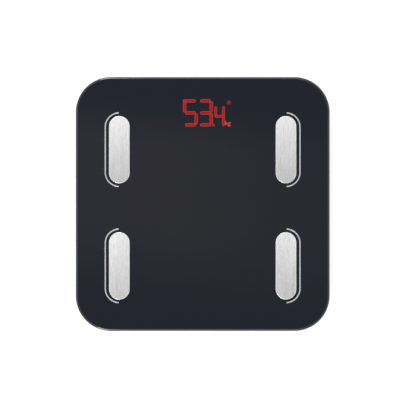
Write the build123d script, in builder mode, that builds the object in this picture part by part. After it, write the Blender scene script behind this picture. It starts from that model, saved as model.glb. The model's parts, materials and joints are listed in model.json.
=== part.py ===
from build123d import *
from math import pi
import os

os.makedirs("parts", exist_ok=True)

# A digital bathroom scale: a glass platform with four electrodes for the feet and a hidden LED display,
# bonded to a shallow tray that holds four weighing feet, the electronics and the battery box.
# Millimetres, +Z up, +Y towards the display, origin on the floor under the middle of the platform.

# Glass platform
platform_side = 280.0
platform_corner_radius = 39.0
glass_thickness = 6.0
glass_top_round = 2.4
glass_bottom_round = 1.0

# Electrodes, placed from the edges of the glass to their centres
electrode_length = 74.0
electrode_width = 22.7
electrode_thickness = 0.8
electrode_edge_round = 0.5
electrode_side_inset = 48.3
electrode_rear_inset = 80.2
electrode_front_inset = 72.0
electrode_tape_thickness = 0.2
electrode_tape_inset = 0.5
electrode_hole_diameter = 5.0

# Tray
floor_gap = 4.0
tray_height = 13.2
tray_inset = 13.0
tray_wall = 2.2
tray_floor = 2.0
tray_edge_round = 4.0
tray_inner_round = 2.0
flange_width = 7.0
flange_thickness = 1.8
rib_thickness = 1.6
rib_pitch = 48.0
rib_count = 5
bond_thickness = 0.8
bond_margin = 0.8

# Feet and their towers in the tray
foot_inset = 31.0
foot_radius = 20.0
foot_clearance = 0.4
foot_wall = 2.2
foot_floor = 1.8
foot_edge_round = 0.8
foot_flange_width = 2.4
foot_flange_thickness = 1.4
foot_drop = 0.4
foot_travel = 0.8
foot_stop_clearance = 0.4
foot_post_radius = 3.5
foot_rib_thickness = 1.5
foot_rib_height = 2.6
foot_rib_count = 6
pad_radius = 17.5
pad_stand_out = 1.0
pad_seat_depth = 0.6
pad_clearance = 0.2
pad_edge_chamfer = 0.4
pad_groove_radii = (6.0, 10.0, 14.0)
pad_groove_width = 1.2
pad_groove_depth = 0.5
tower_wall = 1.7
tower_height = 8.0

# Load cells and their holders
cell_side = 34.0
cell_corner_radius = 5.0
cell_thickness = 2.4
cell_window = 24.0
cell_window_radius = 2.0
cell_stem_width = 9.0
cell_stem_length = 8.0
cell_head_length = 13.0
cell_head_width = 18.0
cell_head_radius = 2.0
seal_length = 7.0
seal_width = 8.0
seal_height = 1.0
holder_radius = 24.0
holder_clearance = 0.3
holder_grip = 1.8
holder_relief_margin = 1.0
holder_relief_depth = 2.6
holder_edge_chamfer = 0.8
cell_clearance = 0.3

# Circuit board
board_side_strip = 8.1
board_depth = 48.0
board_thickness = 1.6
board_margin = 1.5
board_screw_inset = 4.0
board_corner_radius = 2.0
screw_diameter = 2.2
screw_clearance = 0.05
screw_head_diameter = 4.2
screw_head_height = 1.6
screw_bite = 2.8
boss_diameter = 6.0

# Display, seven-segment bars measured between their centre lines
display_rear_inset = 39.25
display_width = 78.0
display_depth = 37.0
display_shift = -2.9
display_film_thickness = 0.3
display_gasket_thickness = 0.7
display_gasket_width = 2.5
digit_pitch = 16.65
tens_digit_x = -13.6
digit_columns = 12.76
digit_rows = 13.2
digit_bar_width = 2.7
digit_level_length = 10.4
digit_upright_length = 11.0
small_digit_x = 18.7
small_digit_drop = 3.7
small_digit_columns = 8.67
small_digit_rows = 12.0
small_digit_bar_width = 2.1
small_digit_level_length = 6.8
small_digit_upright_length = 9.0
point_diameter = 2.2
point_x = 11.6
point_drop = 13.6
legend_x = 28.4
legend_drop = 11.8
legend_width = 6.6
legend_height = 6.0
indicator_rise = 11.4
indicator_diameter = 3.0
led_length = 1.6
led_width = 0.8
led_height = 0.6

# Parts under the circuit board
controller_side = 10.0
controller_height = 1.4
controller_x = -20.0
radio_width = 12.0
radio_length = 16.0
radio_height = 2.2
radio_x = 2.0
switch_side = 6.0
switch_height = 2.0
plunger_diameter = 2.6
plunger_clearance = 0.3
plunger_length = 1.4
plunger_stand_out = 0.8

# Unit button in the tray floor
button_x = 32.0
button_diameter = 9.0
button_clearance = 0.35
button_recess = 0.2
button_flange_width = 1.5
button_flange_thickness = 0.75
button_travel = 0.5
button_edge_round = 0.4

# Battery box, three cells side by side
battery_length = 44.5
battery_diameter = 10.5
battery_nub_length = 1.2
battery_nub_diameter = 3.8
battery_edge_round = 0.6
battery_count = 3
battery_pitch = 11.1
battery_room = 0.3
battery_end_room = 0.1
box_y = 26.0
box_wall = 1.6
box_ceiling = 1.0
contact_thickness = 0.4
contact_width = 8.6
contact_height = 8.4
contact_tail_width = 3.0
contact_tail_length = 3.2
contact_slot_clearance = 0.2
spring_space = 4.6
spring_radius = 2.6
spring_wire = 0.6
spring_turns = 3
spring_clearance = 0.05

# Battery door and its seat
door_thickness = 1.8
door_clearance = 0.3
door_ledge = 3.0
door_corner_radius = 1.5
door_frame_wall = 2.0
door_ledge_thickness = 1.5
tongue_width = 8.0
tongue_spacing = 34.0
tongue_thickness = 1.2
tongue_reach = 2.5
tongue_root = 2.0
tongue_notch_side = 0.5
tongue_notch_height = 5.0
tongue_notch_length = 1.2
tongue_lip = 0.9
latch_width = 14.0
latch_length = 9.0
latch_slit = 1.0
latch_bead = 0.25
latch_bead_height = 0.8
latch_grip_count = 4
latch_grip_pitch = 1.6
latch_grip_width = 0.7
latch_grip_depth = 0.5
scoop_width = 18.0
scoop_length = 8.0
scoop_depth = 1.6
scoop_wall = 1.5

# Leads, in lanes beside the battery box that end on the front of the board
lead_diameter = 1.0
lead_pitch = 1.15
lead_bend = 8.0
lead_drop_bend = 3.0
lead_tail_bend = 2.5
lead_pad_inset = 1.5
lead_notch_width = 5.0
lead_notch_height = 2.0
battery_lead_lane = 5.0
front_cell_lane = 9.0
front_electrode_lane = 12.5
rear_electrode_lane = 14.6

# Heights worked out from the stack
tray_bottom_z = floor_gap
tray_floor_z = tray_bottom_z + tray_floor
tray_top_z = tray_bottom_z + tray_height
glass_bottom_z = tray_top_z + bond_thickness
glass_top_z = glass_bottom_z + glass_thickness
electrode_bottom_z = glass_top_z + electrode_tape_thickness
foot_flange_z = tray_floor_z + foot_drop
foot_top_z = foot_flange_z + foot_flange_thickness
cell_bottom_z = foot_top_z + foot_travel + foot_stop_clearance
cell_top_z = cell_bottom_z + cell_thickness
holder_bottom_z = cell_top_z - holder_grip
pad_top_z = pad_stand_out + pad_seat_depth
foot_floor_z = pad_top_z + foot_floor
tower_top_z = tray_floor_z + tower_height
deck_z = cell_top_z
board_bottom_z = deck_z - board_thickness
reflector_top_z = glass_bottom_z - display_gasket_thickness - display_film_thickness
film_top_z = reflector_top_z + display_film_thickness
lead_z = deck_z + lead_diameter / 2

# Plan sizes worked out from the driving sizes
glass_half = platform_side / 2
electrode_x = glass_half - electrode_side_inset
rear_electrode_y = glass_half - electrode_rear_inset
front_electrode_y = electrode_front_inset - glass_half
tray_side = platform_side - 2 * tray_inset
tray_corner_radius = platform_corner_radius - tray_inset
tray_room = tray_side - 2 * tray_wall
flange_side = tray_side + 2 * flange_width
flange_corner_radius = tray_corner_radius + flange_width
foot_place = tray_side / 2 - foot_inset
foot_hole_radius = foot_radius + foot_clearance
tower_inner_radius = holder_radius + holder_clearance
display_y = glass_half - display_rear_inset
board_y = tray_room / 2 - board_margin * 2 - board_depth / 2
board_half = display_width / 2 + abs(display_shift) + board_side_strip
board_width = 2 * board_half
button_y = board_y - board_depth / 4
button_hole_radius = button_diameter / 2 + button_clearance

# Battery box sizes worked out from the cells
pocket_length = battery_length + spring_space + 2 * contact_thickness + battery_end_room
pocket_depth = (battery_count - 1) * battery_pitch + battery_diameter + 2 * battery_room
recess_length = pocket_length + 2 * door_ledge
recess_depth = pocket_depth + 2 * door_ledge
door_length = recess_length - 2 * door_clearance
door_depth = recess_depth - 2 * door_clearance
door_top_z = tray_bottom_z + door_thickness
ledge_z = door_top_z + door_clearance
frame_top_z = ledge_z + door_ledge_thickness
battery_z = door_top_z + battery_room + battery_diameter / 2
pocket_top_z = battery_z + battery_diameter / 2 + battery_room
box_top_z = pocket_top_z + box_ceiling
hinge_z = tray_bottom_z + door_thickness / 2
hinge_y = box_y + door_depth / 2 - door_thickness / 2
door_front_y = box_y - door_depth / 2

# The four corners, as signs along X and Y
corners = {
    "front_left": (-1, -1),
    "front_right": (1, -1),
    "rear_left": (-1, 1),
    "rear_right": (1, 1),
}
foot_places = [(x_sign * foot_place, y_sign * foot_place) for x_sign, y_sign in corners.values()]
electrode_places = {
    corner: (x_sign * electrode_x, rear_electrode_y if y_sign > 0 else front_electrode_y)
    for corner, (x_sign, y_sign) in corners.items()
}
board_screw_places = [
    (x_sign * (board_half - board_screw_inset), board_y + y_sign * (board_depth / 2 - board_screw_inset))
    for x_sign, y_sign in corners.values()
]
battery_rows = [box_y + (row - (battery_count - 1) / 2) * battery_pitch for row in range(battery_count)]
battery_directions = [1 if row % 2 == 0 else -1 for row in range(battery_count)]


def corner_plane(corner: str, height: float) -> Plane:
    """A level plane over one foot, with its X axis pointing out to the side."""
    x_sign, y_sign = corners[corner]
    place = (x_sign * foot_place, y_sign * foot_place, height)
    return Plane(origin=place, x_dir=(x_sign, 0, 0), z_dir=(0, 0, 1))


def upright_plane(corner: str) -> Plane:
    """An upright plane through one foot's axis, with its Y axis pointing up."""
    x_sign, y_sign = corners[corner]
    place = (x_sign * foot_place, y_sign * foot_place, 0)
    return Plane(origin=place, x_dir=(1, 0, 0), z_dir=(0, -1, 0))


def foot_axis(corner: str) -> Axis:
    """The upright axis of one foot."""
    x_sign, y_sign = corners[corner]
    return Axis((x_sign * foot_place, y_sign * foot_place, 0), (0, 0, 1))


def finish(part: Part, name: str) -> None:
    """Label a finished piece and write it out."""
    part.label = name
    export_step(part, f"parts/{name}.step")


def lead_tube(points: list, bends: list) -> Part:
    """One round lead along straight runs joined by tangent arcs."""
    with BuildPart() as tube:
        with BuildLine() as route:
            if bends:
                FilletPolyline(*points, radius=bends)
            else:
                Line(*points)
        with BuildSketch(Plane(origin=route.line @ 0, z_dir=route.line % 0)):
            Circle(lead_diameter / 2)
        sweep()
    return tube.part


def digit_bars(x: float, y: float, columns: float, rows: float) -> tuple[list, list]:
    """Centres of one digit's three level bars and four upright bars."""
    level = [(x, y + step * rows) for step in (-1, 0, 1)]
    upright = [(x + side * columns / 2, y + half * rows / 2) for side in (-1, 1) for half in (-1, 1)]
    return level, upright


# Glass platform with a rounded edge and a lead hole under each electrode
with BuildPart() as glass_platform:
    with BuildSketch(Plane.XY.offset(glass_bottom_z)):
        RectangleRounded(platform_side, platform_side, platform_corner_radius)
    extrude(amount=glass_thickness)
    fillet(glass_platform.faces().sort_by(Axis.Z)[-1].edges(), glass_top_round)
    fillet(glass_platform.faces().sort_by(Axis.Z)[0].edges(), glass_bottom_round)
    with BuildSketch(Plane.XY.offset(glass_bottom_z)):
        with Locations(*electrode_places.values()):
            Circle(electrode_hole_diameter / 2)
    extrude(amount=glass_thickness, mode=Mode.SUBTRACT)
finish(glass_platform.part, "glass_platform")

# Stainless electrode plates
for corner, place in electrode_places.items():
    with BuildPart() as electrode:
        with BuildSketch(Plane.XY.offset(electrode_bottom_z)):
            with Locations(place):
                SlotOverall(electrode_length, electrode_width, rotation=90)
        extrude(amount=electrode_thickness)
        fillet(electrode.faces().sort_by(Axis.Z)[-1].edges(), electrode_edge_round)
    finish(electrode.part, f"{corner}_electrode")

# Adhesive films that hold the electrodes
with BuildPart() as electrode_tapes:
    with BuildSketch(Plane.XY.offset(glass_top_z)):
        with Locations(*electrode_places.values()):
            SlotOverall(
                electrode_length - 2 * electrode_tape_inset,
                electrode_width - 2 * electrode_tape_inset,
                rotation=90,
            )
            Circle(electrode_hole_diameter / 2, mode=Mode.SUBTRACT)
    extrude(amount=electrode_tape_thickness)
finish(electrode_tapes.part, "electrode_tapes")

# Foam bond between the tray's flange, the holders and the glass
bond_outer = flange_side - 2 * bond_margin
bond_inner = tray_room + 2 * bond_margin
with BuildPart() as glass_bond:
    with BuildSketch(Plane.XY.offset(tray_top_z)):
        RectangleRounded(bond_outer, bond_outer, flange_corner_radius - bond_margin)
        RectangleRounded(
            bond_inner, bond_inner, tray_corner_radius - tray_wall + bond_margin, mode=Mode.SUBTRACT
        )
        with Locations(*foot_places):
            Circle(holder_radius - holder_edge_chamfer - bond_margin)
    extrude(amount=bond_thickness)
finish(glass_bond.part, "glass_bond")

# Tray: shell, flange, ribs, foot towers, board bosses, battery box and door seat
with BuildPart() as lower_tray:
    with BuildSketch(Plane.XY.offset(tray_bottom_z)):
        RectangleRounded(tray_side, tray_side, tray_corner_radius)
    extrude(amount=tray_height)
    fillet(lower_tray.faces().sort_by(Axis.Z)[0].edges(), tray_edge_round)
    with BuildSketch(Plane.XY.offset(tray_top_z - flange_thickness)):
        RectangleRounded(flange_side, flange_side, flange_corner_radius)
    extrude(amount=flange_thickness)
    with BuildSketch(Plane.XY.offset(tray_floor_z)):
        RectangleRounded(tray_room, tray_room, tray_corner_radius - tray_wall)
    extrude(amount=tray_top_z - tray_floor_z, mode=Mode.SUBTRACT)
    floor_edges = lower_tray.edges().filter_by_position(Axis.Z, tray_floor_z, tray_floor_z)
    fillet(floor_edges, tray_inner_round)

    # Floor ribs, kept out of the towers and from under the board
    with BuildSketch(Plane.XY.offset(tray_floor_z)):
        with GridLocations(0, rib_pitch, 1, rib_count):
            Rectangle(tray_room + tray_wall, rib_thickness)
        with GridLocations(rib_pitch, 0, rib_count, 1):
            Rectangle(rib_thickness, tray_room + tray_wall)
        with Locations(*foot_places):
            Circle(tower_inner_radius, mode=Mode.SUBTRACT)
        with Locations((0, board_y)):
            Rectangle(board_width + 2 * board_margin, board_depth + 2 * board_margin, mode=Mode.SUBTRACT)
    extrude(amount=deck_z - tray_floor_z)

    # Towers round the feet
    with BuildSketch(Plane.XY.offset(tray_floor_z)):
        with Locations(*foot_places):
            Circle(tower_inner_radius + tower_wall)
            Circle(tower_inner_radius, mode=Mode.SUBTRACT)
    extrude(amount=tower_height)
    with BuildSketch(Plane.XY.offset(tray_bottom_z)):
        with Locations(*foot_places):
            Circle(foot_hole_radius)
    extrude(amount=tray_floor, mode=Mode.SUBTRACT)

    # Notches for the load cell leads, on the inner side of each tower
    notch_x = foot_place - tower_inner_radius - tower_wall / 2
    with BuildSketch(Plane.XY.offset(deck_z)):
        for y_sign in (-1, 1):
            with Locations((notch_x, y_sign * foot_place), (-notch_x, y_sign * foot_place)):
                Rectangle(2 * tower_wall, lead_notch_width)
    extrude(amount=tower_top_z - deck_z, mode=Mode.SUBTRACT)

    # Bosses under the board
    with BuildSketch(Plane.XY.offset(tray_floor_z)):
        with Locations(*board_screw_places):
            Circle(boss_diameter / 2)
    extrude(amount=board_bottom_z - tray_floor_z)
    with BuildSketch(Plane.XY.offset(board_bottom_z)):
        with Locations(*board_screw_places):
            Circle(screw_diameter / 2 + screw_clearance)
    extrude(amount=-(screw_bite + screw_clearance), mode=Mode.SUBTRACT)

    # Battery box and the thick frame round its door
    with BuildSketch(Plane.XY.offset(tray_bottom_z)):
        with Locations((0, box_y)):
            Rectangle(recess_length + 2 * door_frame_wall, recess_depth + 2 * door_frame_wall)
        with Locations((0, door_front_y - scoop_length / 2)):
            Rectangle(scoop_width + 2 * scoop_wall, scoop_length + 2 * scoop_wall)
    extrude(amount=frame_top_z - tray_bottom_z)
    with BuildSketch(Plane.XY.offset(tray_floor_z)):
        with Locations((0, box_y)):
            Rectangle(pocket_length + 2 * box_wall, pocket_depth + 2 * box_wall)
    extrude(amount=box_top_z - tray_floor_z)
    with BuildSketch(Plane.XY.offset(tray_bottom_z)):
        with Locations((0, box_y)):
            Rectangle(pocket_length, pocket_depth)
    extrude(amount=pocket_top_z - tray_bottom_z, mode=Mode.SUBTRACT)
    with BuildSketch(Plane.XY.offset(tray_bottom_z)):
        with Locations((0, box_y)):
            RectangleRounded(recess_length, recess_depth, door_corner_radius + door_clearance)
        with Locations((0, box_y + recess_depth / 4)):
            Rectangle(recess_length, recess_depth / 2)
    extrude(amount=ledge_z - tray_bottom_z, mode=Mode.SUBTRACT)

    # Notches that the door's tongues swing in, over a thin lip
    notch_front = hinge_y - tongue_root - tongue_notch_side
    notch_rear = hinge_y + door_thickness / 2 + tongue_reach + tongue_notch_length
    with BuildSketch(Plane.XY.offset(tray_bottom_z + tongue_lip)):
        with Locations((0, (notch_front + notch_rear) / 2)):
            with GridLocations(tongue_spacing, 0, 2, 1):
                Rectangle(tongue_width + 2 * tongue_notch_side, notch_rear - notch_front)
    extrude(amount=tongue_notch_height, mode=Mode.SUBTRACT)

    # Finger scoop in front of the door's latch
    with BuildSketch(Plane.XY.offset(tray_bottom_z)):
        with Locations((0, door_front_y)):
            Ellipse(scoop_width / 2, scoop_length)
    extrude(amount=scoop_depth, mode=Mode.SUBTRACT)

    # Slots for the end contacts' tails
    tail_x = pocket_length / 2 + box_wall / 2
    with BuildSketch(Plane.XY.offset(deck_z - contact_thickness - contact_slot_clearance)):
        with Locations((-tail_x, battery_rows[0]), (tail_x, battery_rows[-1])):
            Rectangle(2 * box_wall, contact_tail_width + 2 * contact_slot_clearance)
    extrude(amount=contact_thickness + 2 * contact_slot_clearance, mode=Mode.SUBTRACT)

    # Hole for the unit button
    with BuildSketch(Plane.XY.offset(tray_bottom_z)):
        with Locations((button_x, button_y)):
            Circle(button_hole_radius)
    extrude(amount=tray_floor, mode=Mode.SUBTRACT)
finish(lower_tray.part, "lower_tray")

# Feet: cups with a post that presses on the load cell, and rubber pads
for corner in corners:
    with BuildPart() as foot_cup:
        with BuildSketch(upright_plane(corner)):
            with BuildLine():
                Polyline(
                    (0, pad_top_z),
                    (pad_radius + pad_clearance, pad_top_z),
                    (pad_radius + pad_clearance, pad_stand_out),
                    (foot_radius, pad_stand_out),
                    (foot_radius, foot_flange_z),
                    (foot_radius + foot_flange_width, foot_flange_z),
                    (foot_radius + foot_flange_width, foot_top_z),
                    (foot_radius - foot_wall, foot_top_z),
                    (foot_radius - foot_wall, foot_floor_z),
                    (foot_post_radius, foot_floor_z),
                    (foot_post_radius, cell_bottom_z),
                    (0, cell_bottom_z),
                    close=True,
                )
            make_face()
        revolve(axis=foot_axis(corner))
        fillet(foot_cup.edges().group_by(Axis.Z)[0].sort_by(SortBy.LENGTH)[-1], foot_edge_round)
        with BuildSketch(corner_plane(corner, foot_floor_z)):
            with PolarLocations((foot_post_radius + foot_radius - foot_wall) / 2, foot_rib_count):
                Rectangle(foot_radius - foot_post_radius, foot_rib_thickness)
        extrude(amount=foot_rib_height)
    finish(foot_cup.part, f"{corner}_foot")

    with BuildPart() as foot_pad:
        with BuildSketch(corner_plane(corner, 0)):
            Circle(pad_radius)
        extrude(amount=pad_top_z)
        chamfer(foot_pad.edges().group_by(Axis.Z)[0], pad_edge_chamfer)
        with BuildSketch(corner_plane(corner, 0)):
            for groove_radius in pad_groove_radii:
                Circle(groove_radius + pad_groove_width / 2)
                Circle(groove_radius - pad_groove_width / 2, mode=Mode.SUBTRACT)
        extrude(amount=pad_groove_depth, mode=Mode.SUBTRACT)
    finish(foot_pad.part, f"{corner}_foot_pad")

# Load cells: spring steel plates with a T tongue that the foot's post lifts
stem_start = -cell_window / 2 - (cell_side - cell_window) / 4
stem_end = -cell_window / 2 + cell_stem_length
head_start = stem_end - cell_head_radius
for corner in corners:
    with BuildPart() as load_cell:
        with BuildSketch(corner_plane(corner, cell_bottom_z)):
            RectangleRounded(cell_side, cell_side, cell_corner_radius)
            RectangleRounded(cell_window, cell_window, cell_window_radius, mode=Mode.SUBTRACT)
            with Locations(((stem_start + stem_end) / 2, 0)):
                Rectangle(stem_end - stem_start, cell_stem_width)
            with Locations((head_start + cell_head_length / 2, 0)):
                RectangleRounded(cell_head_length, cell_head_width, cell_head_radius)
        extrude(amount=cell_thickness)
    finish(load_cell.part, f"{corner}_load_cell")

    # Holder: a disc that bears on the cell's frame and is clear of its tongue
    relief_side = cell_window + 2 * holder_relief_margin
    with BuildPart() as cell_holder:
        with BuildSketch(corner_plane(corner, holder_bottom_z)):
            Circle(holder_radius)
        extrude(amount=tray_top_z - holder_bottom_z)
        chamfer(cell_holder.edges().group_by(Axis.Z)[-1], holder_edge_chamfer)
        with BuildSketch(corner_plane(corner, holder_bottom_z)):
            RectangleRounded(
                cell_side + 2 * cell_clearance,
                cell_side + 2 * cell_clearance,
                cell_corner_radius + cell_clearance,
            )
        extrude(amount=holder_grip, mode=Mode.SUBTRACT)
        with BuildSketch(corner_plane(corner, cell_top_z)):
            RectangleRounded(relief_side, relief_side, cell_window_radius + holder_relief_margin)
        extrude(amount=holder_relief_depth, mode=Mode.SUBTRACT)
        with BuildSketch(corner_plane(corner, cell_top_z)):
            with Locations((-holder_radius, 0)):
                Rectangle(2 * holder_radius - relief_side / 2, lead_notch_width)
        extrude(amount=lead_notch_height, mode=Mode.SUBTRACT)
    finish(cell_holder.part, f"{corner}_cell_holder")

# Soft seal over the strain gauge on each cell's stem
with BuildPart() as gauge_seals:
    for corner in corners:
        with BuildSketch(corner_plane(corner, cell_top_z)):
            with Locations((stem_end - seal_length / 2, 0)):
                RectangleRounded(seal_length, seal_width, cell_head_radius)
        extrude(amount=seal_height)
finish(gauge_seals.part, "gauge_seals")

# Circuit board and its screws
with BuildPart() as circuit_board:
    with BuildSketch(Plane.XY.offset(board_bottom_z)):
        with Locations((0, board_y)):
            RectangleRounded(board_width, board_depth, board_corner_radius)
        with Locations(*board_screw_places):
            Circle(screw_diameter / 2 + screw_clearance, mode=Mode.SUBTRACT)
    extrude(amount=board_thickness)
finish(circuit_board.part, "circuit_board")

with BuildPart() as board_screws:
    with BuildSketch(Plane.XY.offset(board_bottom_z - screw_bite)):
        with Locations(*board_screw_places):
            Circle(screw_diameter / 2)
    extrude(amount=screw_bite + board_thickness)
    with BuildSketch(Plane.XY.offset(deck_z)):
        with Locations(*board_screw_places):
            Circle(screw_head_diameter / 2)
    extrude(amount=screw_head_height)
    with BuildSketch(Plane.XY.offset(deck_z + screw_head_height)):
        with Locations(*board_screw_places):
            Rectangle(screw_head_diameter / 2, screw_head_height / 4)
            Rectangle(screw_head_height / 4, screw_head_diameter / 2)
    extrude(amount=-screw_head_height / 2, mode=Mode.SUBTRACT)
finish(board_screws.part, "board_screws")

# Light box: a white block with one well for each bar of the digits
big_digit_places = [tens_digit_x + step * digit_pitch for step in (-1, 0, 1)]
level_wells = []
upright_wells = []
for digit_x in big_digit_places:
    level_bars, upright_bars = digit_bars(digit_x, display_y, digit_columns, digit_rows)
    level_wells += level_bars
    upright_wells += upright_bars
small_level_wells, small_upright_wells = digit_bars(
    small_digit_x, display_y - small_digit_drop, small_digit_columns, small_digit_rows
)
point_place = (point_x, display_y - point_drop)
legend_place = (legend_x, display_y - legend_drop)
indicator_place = (legend_x, display_y + indicator_rise)
display_place = (display_shift, display_y)

with BuildPart() as display_light_box:
    with BuildSketch(Plane.XY.offset(deck_z)):
        with Locations(display_place):
            Rectangle(display_width, display_depth)
        with Locations(*level_wells):
            SlotOverall(digit_level_length, digit_bar_width, mode=Mode.SUBTRACT)
        with Locations(*upright_wells):
            SlotOverall(digit_upright_length, digit_bar_width, rotation=90, mode=Mode.SUBTRACT)
        with Locations(*small_level_wells):
            SlotOverall(small_digit_level_length, small_digit_bar_width, mode=Mode.SUBTRACT)
        with Locations(*small_upright_wells):
            SlotOverall(
                small_digit_upright_length, small_digit_bar_width, rotation=90, mode=Mode.SUBTRACT
            )
        with Locations(point_place):
            Circle(point_diameter / 2, mode=Mode.SUBTRACT)
        with Locations(legend_place):
            Rectangle(legend_width, legend_height, mode=Mode.SUBTRACT)
        with Locations(indicator_place):
            Circle(indicator_diameter / 2, mode=Mode.SUBTRACT)
    extrude(amount=reflector_top_z - deck_z)
finish(display_light_box.part, "display_light_box")

with BuildPart() as display_film:
    with BuildSketch(Plane.XY.offset(reflector_top_z)):
        with Locations(display_place):
            Rectangle(display_width, display_depth)
    extrude(amount=display_film_thickness)
finish(display_film.part, "display_film")

with BuildPart() as display_gasket:
    with BuildSketch(Plane.XY.offset(film_top_z)):
        with Locations(display_place):
            Rectangle(display_width, display_depth)
            Rectangle(
                display_width - 2 * display_gasket_width,
                display_depth - 2 * display_gasket_width,
                mode=Mode.SUBTRACT,
            )
    extrude(amount=display_gasket_thickness)
finish(display_gasket.part, "display_gasket")

# One LED chip at the bottom of each well
with BuildPart() as led_chips:
    with BuildSketch(Plane.XY.offset(deck_z)):
        with Locations(*level_wells, *small_level_wells, point_place, legend_place, indicator_place):
            Rectangle(led_length, led_width)
        with Locations(*upright_wells, *small_upright_wells):
            Rectangle(led_width, led_length)
    extrude(amount=led_height)
finish(led_chips.part, "led_chips")

# Parts soldered under the board
with BuildPart() as controller_chip:
    with BuildSketch(Plane.XY.offset(board_bottom_z)):
        with Locations((controller_x, board_y)):
            Rectangle(controller_side, controller_side)
    extrude(amount=-controller_height)
finish(controller_chip.part, "controller_chip")

with BuildPart() as radio_module:
    with BuildSketch(Plane.XY.offset(board_bottom_z)):
        with Locations((radio_x, board_y)):
            Rectangle(radio_width, radio_length)
    extrude(amount=-radio_height)
finish(radio_module.part, "radio_module")

# Push switch: body, and the plunger that the unit button lifts
switch_bottom_z = board_bottom_z - switch_height
plunger_bottom_z = switch_bottom_z - plunger_stand_out
plunger_top_z = plunger_bottom_z + plunger_length
with BuildPart() as push_switch:
    with BuildSketch(Plane.XY.offset(switch_bottom_z)):
        with Locations((button_x, button_y)):
            Rectangle(switch_side, switch_side)
    extrude(amount=switch_height)
    with BuildSketch(Plane.XY.offset(switch_bottom_z)):
        with Locations((button_x, button_y)):
            Circle(plunger_diameter / 2 + plunger_clearance)
    extrude(amount=plunger_top_z + button_travel + plunger_clearance - switch_bottom_z, mode=Mode.SUBTRACT)
finish(push_switch.part, "push_switch")

with BuildPart() as switch_plunger:
    with BuildSketch(Plane.XY.offset(plunger_bottom_z)):
        with Locations((button_x, button_y)):
            Circle(plunger_diameter / 2)
    extrude(amount=plunger_length)
finish(switch_plunger.part, "switch_plunger")

# Unit button, held in by a flange inside the tray floor
with BuildPart() as unit_button:
    with BuildSketch(Plane.XY.offset(tray_bottom_z + button_recess)):
        with Locations((button_x, button_y)):
            Circle(button_diameter / 2)
    extrude(amount=plunger_bottom_z - tray_bottom_z - button_recess)
    fillet(unit_button.edges().group_by(Axis.Z)[0], button_edge_round)
    with BuildSketch(Plane.XY.offset(plunger_bottom_z)):
        with Locations((button_x, button_y)):
            Circle(button_diameter / 2 + button_flange_width)
    extrude(amount=-button_flange_thickness)
finish(unit_button.part, "unit_button")

# Battery door: a flat plate that swings on its round rear edge, with two tongues behind the lip
with BuildPart() as battery_door:
    with BuildSketch(Plane.YZ.offset(-door_length / 2)):
        with BuildLine():
            door_base = Polyline(
                (hinge_y, door_top_z),
                (door_front_y, door_top_z),
                (door_front_y, tray_bottom_z),
                (hinge_y, tray_bottom_z),
            )
            ThreePointArc(door_base @ 1, (hinge_y + door_thickness / 2, hinge_z), door_base @ 0)
        make_face()
    extrude(amount=door_length)
    front_edges = battery_door.edges().filter_by(Axis.Z).group_by(Axis.Y)[0]
    fillet(front_edges, door_corner_radius)
    with BuildSketch(Plane.XY.offset(door_top_z + tongue_thickness / 2)):
        with Locations((0, hinge_y + (tongue_reach + door_thickness / 2 - tongue_root) / 2)):
            with GridLocations(tongue_spacing, 0, 2, 1):
                Rectangle(tongue_width, tongue_reach + door_thickness / 2 + tongue_root)
    extrude(amount=-tongue_thickness)

    # Latch tongue between two slits, with a bead on its edge and a grip in its face
    with BuildSketch(Plane.XY.offset(tray_bottom_z)):
        with Locations((0, door_front_y + latch_length / 2)):
            with GridLocations(latch_width + latch_slit, 0, 2, 1):
                Rectangle(latch_slit, latch_length)
    extrude(amount=door_thickness, mode=Mode.SUBTRACT)
    with BuildSketch(Plane.XY.offset(door_top_z)):
        with Locations((0, door_front_y)):
            Rectangle(latch_width, 2 * latch_bead)
    extrude(amount=-latch_bead_height)
    with BuildSketch(Plane.XY.offset(tray_bottom_z)):
        with Locations((0, door_front_y + latch_length / 2)):
            with GridLocations(0, latch_grip_pitch, 1, latch_grip_count):
                Rectangle(latch_width - 2 * latch_slit, latch_grip_width)
    extrude(amount=latch_grip_depth, mode=Mode.SUBTRACT)
finish(battery_door.part, "battery_door")

# Battery cells, each the other way round from its neighbour
battery_names = ("front_battery", "middle_battery", "rear_battery")
nub_end = pocket_length / 2 - contact_thickness
can_length = battery_length - battery_nub_length
for name, row, direction in zip(battery_names, battery_rows, battery_directions):
    nub_plane = Plane(
        origin=(direction * nub_end, row, battery_z), x_dir=(0, 1, 0), z_dir=(direction, 0, 0)
    )
    with BuildPart() as battery:
        with BuildSketch(nub_plane.offset(-battery_nub_length)):
            Circle(battery_diameter / 2)
        extrude(amount=-can_length)
        fillet(battery.edges().filter_by(GeomType.CIRCLE), battery_edge_round)
        with BuildSketch(nub_plane):
            Circle(battery_nub_diameter / 2)
        extrude(amount=-battery_nub_length)
    finish(battery.part, name)

# Contact plates at the ends of the box: two singles with tails, and two that bridge a pair of cells
wall_x = pocket_length / 2
bridge_width = battery_pitch + contact_width
tail_reach = box_wall + contact_tail_length
with BuildPart() as battery_contacts:
    with BuildSketch(Plane.YZ.offset(-wall_x)):
        with Locations((battery_rows[0], battery_z)):
            Rectangle(contact_width, contact_height)
        with Locations(((battery_rows[1] + battery_rows[2]) / 2, battery_z)):
            Rectangle(bridge_width, contact_height)
    extrude(amount=contact_thickness)
    with BuildSketch(Plane.YZ.offset(wall_x)):
        with Locations((battery_rows[-1], battery_z)):
            Rectangle(contact_width, contact_height)
        with Locations(((battery_rows[0] + battery_rows[1]) / 2, battery_z)):
            Rectangle(bridge_width, contact_height)
    extrude(amount=-contact_thickness)
    with BuildSketch(Plane.XY.offset(deck_z)):
        tail_middle = wall_x + tail_reach / 2
        with Locations((-tail_middle, battery_rows[0]), (tail_middle, battery_rows[-1])):
            Rectangle(tail_reach, contact_tail_width)
    extrude(amount=-contact_thickness)
finish(battery_contacts.part, "battery_contacts")

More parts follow.
